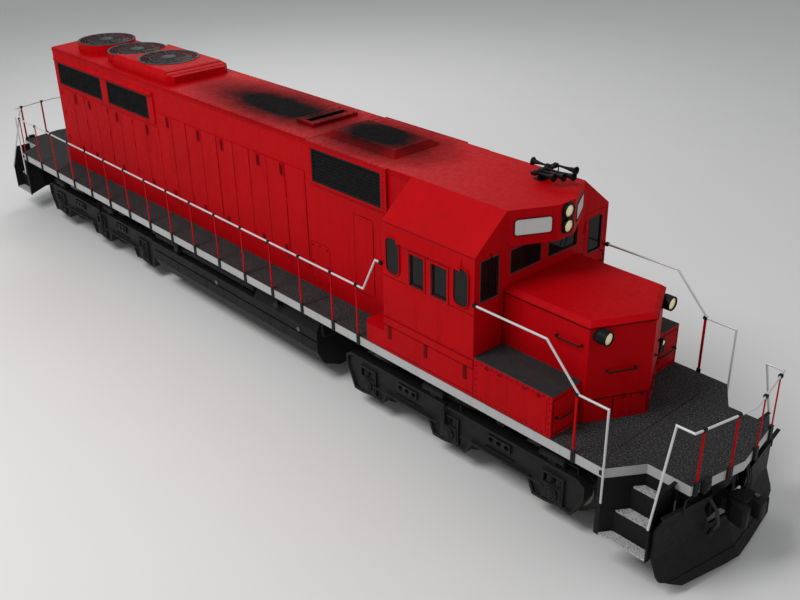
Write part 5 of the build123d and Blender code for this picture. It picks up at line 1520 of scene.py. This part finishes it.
# ---- Both ends ----
@dataclass
class EndFittings:
    """Brake hoses, control cables, cut levers and couplers' pins at both ends."""

    # Control hoses.  columns: y, z of the lower end
    control_hoses: tuple = ((0.46, 0.86), (0.52, 0.82), (0.58, 0.78))
    couplers: tuple = (("coupler_front", 1), ("coupler_rear", -1))
    lever_x: float = 10.075
    rear_plate: float = -9.983

    def build(self) -> None:
        """Makes every fitting of the ends."""
        self.hang_hoses()
        self.set_levers()
        self.pin_couplers()
        self.bolt_plate()

    def hang_hoses(self) -> None:
        """The train's air hoses with their couplings, hung from the end plates."""
        ends = Places.ENDS
        hoses = Piping("air_hoses", "hose_rubber", places=ends, radius=0.026, bend=0.09, sides=12)
        thin = Piping("control_hoses", "hose_rubber", places=ends, radius=0.015, bend=0.06, sides=10)
        tips = Batch("hose_couplings", "cast_steel", bevel=0.004, places=ends)
        hoses.run((9.98, -0.46, 1.20), (10.06, -0.47, 1.20), (10.24, -0.46, 1.02), (10.27, -0.44, 0.80),
                  (10.20, -0.47, 0.66))
        tips.rod((10.215, -0.465, 0.70), (10.185, -0.475, 0.60), 0.040, 14)
        for end in (1, -1):
            tips.box((end * 9.96 - 0.02, -0.52, 1.15), (end * 9.96 + 0.06, -0.42, 1.25), at=Places.ONCE)
        for y, drop in self.control_hoses:
            thin.run((9.98, y, 1.24), (10.10, y, 1.24), (10.17, y, drop + 0.12), (10.14, y, drop))
            tips.rod((10.145, y, drop + 0.02), (10.137, y, drop - 0.04), 0.024, 12)

    def set_levers(self) -> None:
        """Levers that lift the couplers' pins, carried on brackets."""
        levers = Piping("cut_levers", "cast_steel", places=Places.CORNERS, radius=0.013, bend=0.03)
        brackets = Batch("lever_brackets", "black_paint", bevel=0.003, places=Places.CORNERS)
        x = self.lever_x
        levers.run((10.20, 0.06, 1.24), (10.14, 0.10, 1.36), (x, 0.20, 1.40), (x, 1.02, 1.40),
                   (10.11, 1.10, 1.36), (10.11, 1.10, 1.24))
        for y in (0.30, 0.94):
            brackets.box((x - 0.12, y - 0.012, 1.37), (x + 0.02, y + 0.012, 1.43))

    def pin_couplers(self) -> None:
        """The knuckle's pin, the lifter and the wear plate; they swing with each coupler."""
        pins = Batch("coupler_pins", "bright_steel", True, places=Places.ONCE)
        straps = Batch("coupler_straps", "cast_steel", bevel=0.006, places=Places.ONCE)
        for body, end in self.couplers:
            x, y = end * 10.46, end * 0.165
            pins.rod((x, y, 0.740), (x, y, 1.070), 0.026, 16, body=body)
            pins.rod((x, y, 1.055), (x, y, 1.085), 0.038, 16, body=body)
            for z in (0.752, 1.040):
                straps.box((end * 10.18, -0.10, z - 0.010), (end * 10.44, 0.10, z + 0.030), body=body)
            straps.box((end * 10.10, -0.115, 0.80), (end * 10.20, 0.115, 1.00), body=body)

    def bolt_plate(self) -> None:
        """Bolts on the rear plate."""
        rows = bolts("end_bolts", "cast_steel", 0.014, 0.010)
        x = self.rear_plate
        rows.row((x, 0.62, 1.40), (x, 0.94, 1.40), 4, BACK)
        rows.row((x, 0.50, 0.62), (x, 0.50, 1.30), 6, BACK)


# ---- Tank and pipes ----
@dataclass
class TankFittings:
    """Filler, gauge, straps, drains and the pipes along the frame."""

    # The reservoirs' middle line, and the lines of the two long pipes.  columns: y, z
    reservoir: tuple = (1.215, 1.255)
    long_pipes: tuple = ((1.40, 1.455), (1.33, 1.44))
    pipe_end: float = 8.95
    # Ends of the tank.  columns: x, way it faces
    tank_ends: tuple = ((2.75, AHEAD), (-2.95, BACK))

    def build(self) -> None:
        """Makes every fitting of the tank."""
        self.fit_fillers()
        self.lay_pipes()

    def fit_fillers(self) -> None:
        """Filler necks, sight gauges, drains, bolts and weld seams on the tank's sides."""
        caps = Batch("tank_fillers", "cast_steel", True)
        gauges = Batch("tank_gauges", "bright_steel", True)
        seams = Sown("tank_seams", "black_paint", growth=Bars, sizes={"Width": 0.012, "Depth": 0.006})
        for x in (-1.9, 1.6):
            caps.rod((x, 1.30, 1.235), (x, 1.43, 1.275), 0.055, 20)
            caps.rod((x, 1.42, 1.272), (x, 1.445, 1.280), 0.070, 20)
        caps.rod((0.2, 0.95, 0.30), (0.2, 0.95, 0.24), 0.04, 16)
        for x in (-0.5, 2.2):
            gauges.rod((x, 1.39, 0.98), (x, 1.398, 0.98), 0.045, 20)
        for x in (-2.0, -0.9, 0.2, 1.3, 2.3):
            seams.seat((x, 1.3915, 0.80), UP, 0.19)
        rows = bolts("tank_bolts", "black_paint", 0.013, 0.009)
        for x, facing in self.tank_ends:
            rows.row((x, 0.45, 1.34), (x, 1.18, 1.34), 8, facing)
            rows.row((x, 1.33, 0.74), (x, 1.33, 1.06), 4, facing)

    def lay_pipes(self) -> None:
        """Air pipes below the sill on both sides, with the straps and bosses of the reservoirs."""
        pipes = Piping("air_pipes", "cast_steel", radius=0.019, bend=0.06)
        for y, z in self.long_pipes:
            pipes.run((-self.pipe_end, y, z), (self.pipe_end, y, z))
        y, z = self.long_pipes[1]
        pipes.run((2.55, y, z), (2.85, y, z), (2.85, y, 1.05), (2.85, 0.60, 1.05))
        pipes.run((0.74, *self.reservoir), (1.05, *self.reservoir), (1.05, y, z))
        clips = Batch("pipe_clips", "cast_steel", bevel=0.002)
        for i in range(16):
            clips.block((-8.7 + 1.16 * i, 1.3625, 1.456), (0.02, 0.0625, 0.031))
        straps = Batch("reservoir_straps", "cast_steel", True)
        for x in (-2.5, -1.1, 0.3):
            straps.rod((x - 0.03, *self.reservoir), (x + 0.03, *self.reservoir), 0.129, 28)
        straps.rod((0.72, *self.reservoir), (0.79, *self.reservoir), 0.03, 14)


# ---- Bogies and wheels ----
@dataclass
class BogieFittings:
    """Coil springs, bolts, brake rods and shoes, dampers and sand pipes of one bogie."""

    body: str
    centre: float
    turn: int
    axles: tuple = (2.05, -0.07, -2.05)
    axle_z: float = 0.536
    spring_y: float = 1.155
    cover_y: float = 1.300
    # Middles of the brake cylinders, and half their length
    cylinders: tuple = (1.990, -0.475)
    cylinder_half: float = 0.21
    cylinder_z: float = 1.110
    # Rods and pipes of the left side, in the bogie's own directions.  columns: points
    brake_rods: tuple = (((1.90, 1.275, 0.575), (0.20, 1.275, 0.60)),
                         ((-0.30, 1.275, 0.60), (-1.90, 1.275, 0.575)),
                         ((2.23, 1.155, 1.110), (2.42, 1.155, 1.110), (2.46, 1.20, 0.84)),
                         ((-0.24, 1.155, 1.110), (0.10, 1.165, 1.110), (0.16, 1.22, 0.92)))
    sand_pipes: tuple = (((2.58, 1.10, 0.92), (2.58, 0.95, 0.70), (2.52, 0.76, 0.24)),
                         ((-2.58, 1.10, 0.92), (-2.58, 0.95, 0.70), (-2.52, 0.76, 0.24)))

    def build(self) -> None:
        """Makes every fitting of the bogie."""
        self.set_springs()
        self.bolt_castings()
        self.fit_axle_boxes()
        self.hang_brakes()
        self.lay_pipes()

    def at(self, x: float, y: float, z: float) -> Point:
        """A point given from the swivel centre, with the bogie the right way round."""
        return (self.centre + self.turn * x, self.turn * y, z)

    def batch(self, name: str, bevel: float = 0.0) -> Batch:
        """A batch of castings on this bogie; without a bevel they are round."""
        return Batch(name, "cast_steel", smooth=not bevel, bevel=bevel, body=self.body)

    def set_springs(self) -> None:
        """A pair of coil springs on each journal box."""
        coils = Sown("springs", "cast_steel", True, body=self.body, growth=Coils,
                     sizes={"Radius": 0.072, "Wire": 0.014, "Turns": 4.5, "Height": 0.128})
        for axle in self.axles:
            for dx in (-0.088, 0.088):
                coils.seat(self.at(axle + dx, self.spring_y, 0.680))

    def fit_axle_boxes(self) -> None:
        """Covers and pedestal ties of the journal boxes, and lids of the brake cylinders."""
        ties = self.batch("pedestal_ties", 0.006)
        lids = self.batch("journal_lids")
        facing = (0, self.turn, 0)
        for axle in self.axles:
            lid = self.at(axle, self.cover_y, self.axle_z)
            lids.turned(((0.0, 0.066), (0.010, 0.062), (0.016, 0.0)), lid, facing)
            x, y, z = self.at(axle, self.spring_y, 0.338)
            ties.box((x - 0.21, y - 0.07, z - 0.016), (x + 0.21, y + 0.07, z + 0.022))
        cylinders = self.batch("brake_lids")
        lid = ((0.0, 0.094), (0.018, 0.094), (0.030, 0.06), (0.034, 0.0))
        for x in self.cylinders:
            for face in (-1, 1):
                spot = self.at(x + face * self.cylinder_half, self.spring_y, self.cylinder_z)
                cylinders.turned(lid, spot, (face * self.turn, 0, 0))

    def bolt_castings(self) -> None:
        """Bolts of the journal covers and the pedestal ties."""
        dots = bolts("casting_bolts", "cast_steel", 0.014, 0.012, body=self.body)
        facing = (0, self.turn, 0)
        for axle in self.axles:
            for along, up in on_circle(6, 30):
                dots.seat(self.at(axle + 0.092 * along, self.cover_y, self.axle_z + 0.092 * up), facing)
            for dx in (-0.185, 0.185):
                for z in (0.358, 0.448):
                    dots.seat(self.at(axle + dx, 1.260, z), facing)

    def hang_brakes(self) -> None:
        """Brake shoes with hangers and the rods that pull them."""
        shoes = self.batch("brake_shoes", 0.006)
        rods = Piping("brake_rods", "cast_steel", body=self.body, radius=0.016, bend=0.02)
        for axle in self.axles:
            for dx in (-0.570, 0.570):
                x, y, z = self.at(axle + dx * 0.985, 0.760, 0.56)
                lean = 0.028 if dx * self.turn > 0 else -0.028
                shoes.box((x - lean * 0.3, y - 0.045, z - 0.15), (x + lean, y + 0.045, z + 0.15))
                rods.run((x + lean, y, z), (x + lean, y + self.turn * 0.10, 0.80),
                         (x + lean, y + self.turn * 0.31, 0.90))
        for points in self.brake_rods:
            rods.run(*(self.at(*point) for point in points))

    def lay_pipes(self) -> None:
        """Sand pipes down to the outer wheels and dampers over the middle axle."""
        pipes = Piping("sand_pipes", "cast_steel", body=self.body, radius=0.014, bend=0.05)
        for points in self.sand_pipes:
            pipes.run(*(self.at(*point) for point in points))
        dampers = self.batch("dampers")
        low, high = Vector(self.at(-0.16, 1.285, 0.70)), Vector(self.at(-0.16, 1.285, 1.03))
        dampers.rod(low, (low + high) / 2, 0.030, 16)
        dampers.rod((low + high) / 2, high, 0.020, 14)
        eye = Vector((0, self.turn * 0.03, 0))
        for point in (low, high):
            dampers.rod(point - eye, point + eye, 0.034, 14)


@dataclass
class WheelFittings:
    """Running bands and hub bolts of every wheelset; they turn with it."""

    # Wheelsets.  columns: body, x
    wheelsets: tuple = (("wheelset_front_1", 8.075), ("wheelset_front_2", 5.955),
                        ("wheelset_front_3", 3.975), ("wheelset_rear_1", -7.825),
                        ("wheelset_rear_2", -5.705), ("wheelset_rear_3", -3.725))
    axle_z: float = 0.536
    # Outline of the running band.  columns: distance outwards from its inner edge, radius
    band: tuple = ((0.0, 0.500), (0.0, 0.5095), (0.095, 0.5050), (0.095, 0.500))
    band_y: float = 0.722
    hub_y: float = 0.830
    hub_radius: float = 0.13

    def build(self) -> None:
        """Makes the bright running band and the hub's bolts on each wheel."""
        bands = Batch("running_bands", "bright_steel", True)
        hubs = bolts("hub_bolts", "wheel_steel", 0.014, 0.010)
        for body, x in self.wheelsets:
            bands.turned(self.band, (x, self.band_y, self.axle_z), LEFT, 64, body=body)
            for along, up in on_circle(8):
                spot = (x + self.hub_radius * along, self.hub_y, self.axle_z + self.hub_radius * up)
                hubs.seat(spot, LEFT, body=body)


@dataclass
class HornFittings:
    """Bracket and mouths of the horn on the cab's roof."""

    place: Point = (6.180, 0.520, 4.590)
    # Bells.  columns: y from the middle, length, way along X
    bells: tuple = ((-0.230, 0.380, 1), (-0.115, 0.470, 1), (0.0, 0.560, 1), (0.115, 0.330, -1),
                    (0.230, 0.420, 1))
    mouth: float = 0.062

    def build(self) -> None:
        """Makes the bells' rims, the bracket and the air pipe."""
        once = Places.ONCE
        rims = Sown("horn_rims", "black_paint", True, places=once, growth=Hoops,
                    sizes={"Radius": 0.006, "Segments": 24})
        x, y, z = self.place
        for offset, length, way in self.bells:
            rims.seat((x + way * (length - 0.002), y + offset, z), AHEAD, self.mouth)
        bracket = Batch("horn_bracket", "black_paint", bevel=0.003, places=once)
        bracket.box((x - 0.09, y - 0.16, 4.4395), (x + 0.09, y + 0.16, 4.452))
        bracket.box((x - 0.012, y - 0.14, 4.45), (x + 0.012, y + 0.14, 4.548))
        pipe = Piping("horn_pipe", "black_paint", places=once, bend=0.03)
        pipe.run((x, y + 0.27, 4.57), (x, y + 0.33, 4.57), (x, y + 0.33, 4.44))


# ---- Studio ----
@dataclass
class Studio:
    """Plain pale floor, soft lights and the camera."""

    floor_half: float = 60.0
    floor_colour: Colour = (0.80, 0.80, 0.79)
    # Lamps.  columns: name, place, size, power
    lamps: tuple = (("key", (1.0, -15.0, 22.0), 10.0, 3500.0), ("fill", (22.0, 6.0, 9.0), 14.0, 220.0),
                    ("back", (-16.0, 12.0, 18.0), 12.0, 1300.0))
    aim: Point = (0.0, 0.0, 1.5)
    # Light of the room: its colour, strength on the object and strength behind it
    room: tuple = ((0.93, 0.94, 0.96, 1.0), 0.38, 0.9)
    camera_place: Point = (15.3083, -10.6190, 9.7347)
    # Degrees
    azimuth: float = 48.1867
    elevation: float = 27.2474
    roll: float = -1.1726
    lens: float = 44.882

    def build(self) -> None:
        """Makes the floor, the lights and the camera."""
        self.lay_floor()
        self.hang_lights()
        self.set_camera()

    def lay_floor(self) -> None:
        """Lays the floor just below the wheels."""
        draft = Draft()
        draft.box((-self.floor_half, -self.floor_half, -0.02), (self.floor_half, self.floor_half, -0.001))
        mesh = draft.mesh()
        sheet = Coat("studio_floor")
        tone = sheet.noise(sheet.place(), 0.4)
        colour = sheet.blend(tone, rgba(self.floor_colour), rgba(self.floor_colour, 0.97))
        mesh.materials.append(sheet.cover(Base_Color=colour, Roughness=0.85))
        link("studio_floor", mesh)

    def hang_lights(self) -> None:
        """Hangs three large soft lights and fills the room with pale light."""
        for name, place, size, power in self.lamps:
            data = bpy.data.lights.new(name, "AREA")
            data.size = size
            data.energy = power
            lamp = link(name, data)
            lamp.location = place
            lamp.rotation_euler = (Vector(self.aim) - Vector(place)).to_track_quat("-Z", "Y").to_euler()
        world = bpy.data.worlds.new("room")
        world.use_nodes = True
        bpy.context.scene.world = world
        sheet = Tree(world.node_tree)
        back = world.node_tree.nodes["Background"]
        seen = sheet.add("ShaderNodeLightPath").outputs["Is Camera Ray"]
        colour, light, behind = self.room
        sheet.feed(back.inputs["Color"], colour)
        sheet.feed(back.inputs["Strength"], sheet.span(seen, 0.0, 1.0, light, behind))

    def set_camera(self) -> None:
        """Sets the camera at its three-quarter view."""
        azimuth, elevation, roll = (math.radians(a) for a in (self.azimuth, self.elevation, self.roll))
        flat = math.cos(elevation)
        back = Vector((math.sin(azimuth) * flat, -math.cos(azimuth) * flat, math.sin(elevation)))
        right = Vector((math.cos(azimuth), math.sin(azimuth), 0.0))
        up = back.cross(right)
        side = right * math.cos(roll) + up * math.sin(roll)
        top = up * math.cos(roll) - right * math.sin(roll)
        turn = Matrix((side, top, back)).transposed().to_4x4()
        data = bpy.data.cameras.new("camera")
        data.lens = self.lens
        data.sensor_width = 36.0
        data.clip_end = 300.0
        camera = link("camera", data)
        camera.matrix_world = Matrix.Translation(self.camera_place) @ turn
        bpy.context.scene.camera = camera
        bpy.context.scene.view_settings.view_transform = "Standard"


# ---- Dressing the frame's own nodes ----
# The finish of each node, by the beginning of its name; the first that fits counts
NODE_FINISHES = {
    "clear_glass": ("cab_glass", "cab_door_front_glass", "cab_door_rear_glass"),
    "red_paint": ("hood_", "roof_hatches", "fan_drums", "cab_shell", "short_hood", "walkway_boxes",
                  "handrail_posts", "cab_door_", "exhaust_stack"),
    "pale_paint": ("edge_sill",),
    "rail_paint": ("handrails",),
    "deck_tread": ("walkway_deck",),
    "box_tread": ("box_treads",),
    "step_tread": ("step_treads",),
    "grille_black": ("side_grilles",),
    "black_paint": ("underframe", "cross_bearers", "draft_pockets", "step_wells", "plow", "rear_pilot",
                    "fuel_tank", "air_reservoirs", "lamp_housings", "horn"),
    "cast_steel": ("bogie_frame_", "journal_boxes_", "coupler_"),
    "wheel_steel": ("wheelset_",),
    "fan_metal": ("radiator_fan_",),
    "guard_metal": ("fan_guards",),
    "engine_paint": ("engine_block",),
    "console_paint": ("control_stand",),
    "lens_glass": ("lamp_lenses",),
    "seat_fabric": ("cab_seats",),
    "board_white": ("number_boards",),
}


def dress_nodes() -> None:
    """Puts its finish on every node of the frame."""
    for node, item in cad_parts.items():
        paint = next(paint for paint, starts in NODE_FINISHES.items() if node.startswith(starts))
        item.data.materials.clear()
        item.data.materials.append(material(paint))


ASSEMBLIES = (
    HoodFittings(), RoofFittings(), CabFittings(), NoseFittings(), WalkwayFittings(), EndFittings(),
    TankFittings(), BogieFittings("bogie_front", 6.025, 1), BogieFittings("bogie_rear", -5.775, -1),
    WheelFittings(), HornFittings(),
)


def main() -> None:
    """Builds the locomotive's looks around its frame."""
    logging.basicConfig(level=logging.INFO, format="%(message)s")
    Studio().build()
    dress_nodes()
    for assembly in ASSEMBLIES:
        assembly.build()
        Fitting.finish_all()


if __name__ == "__main__":
    main()
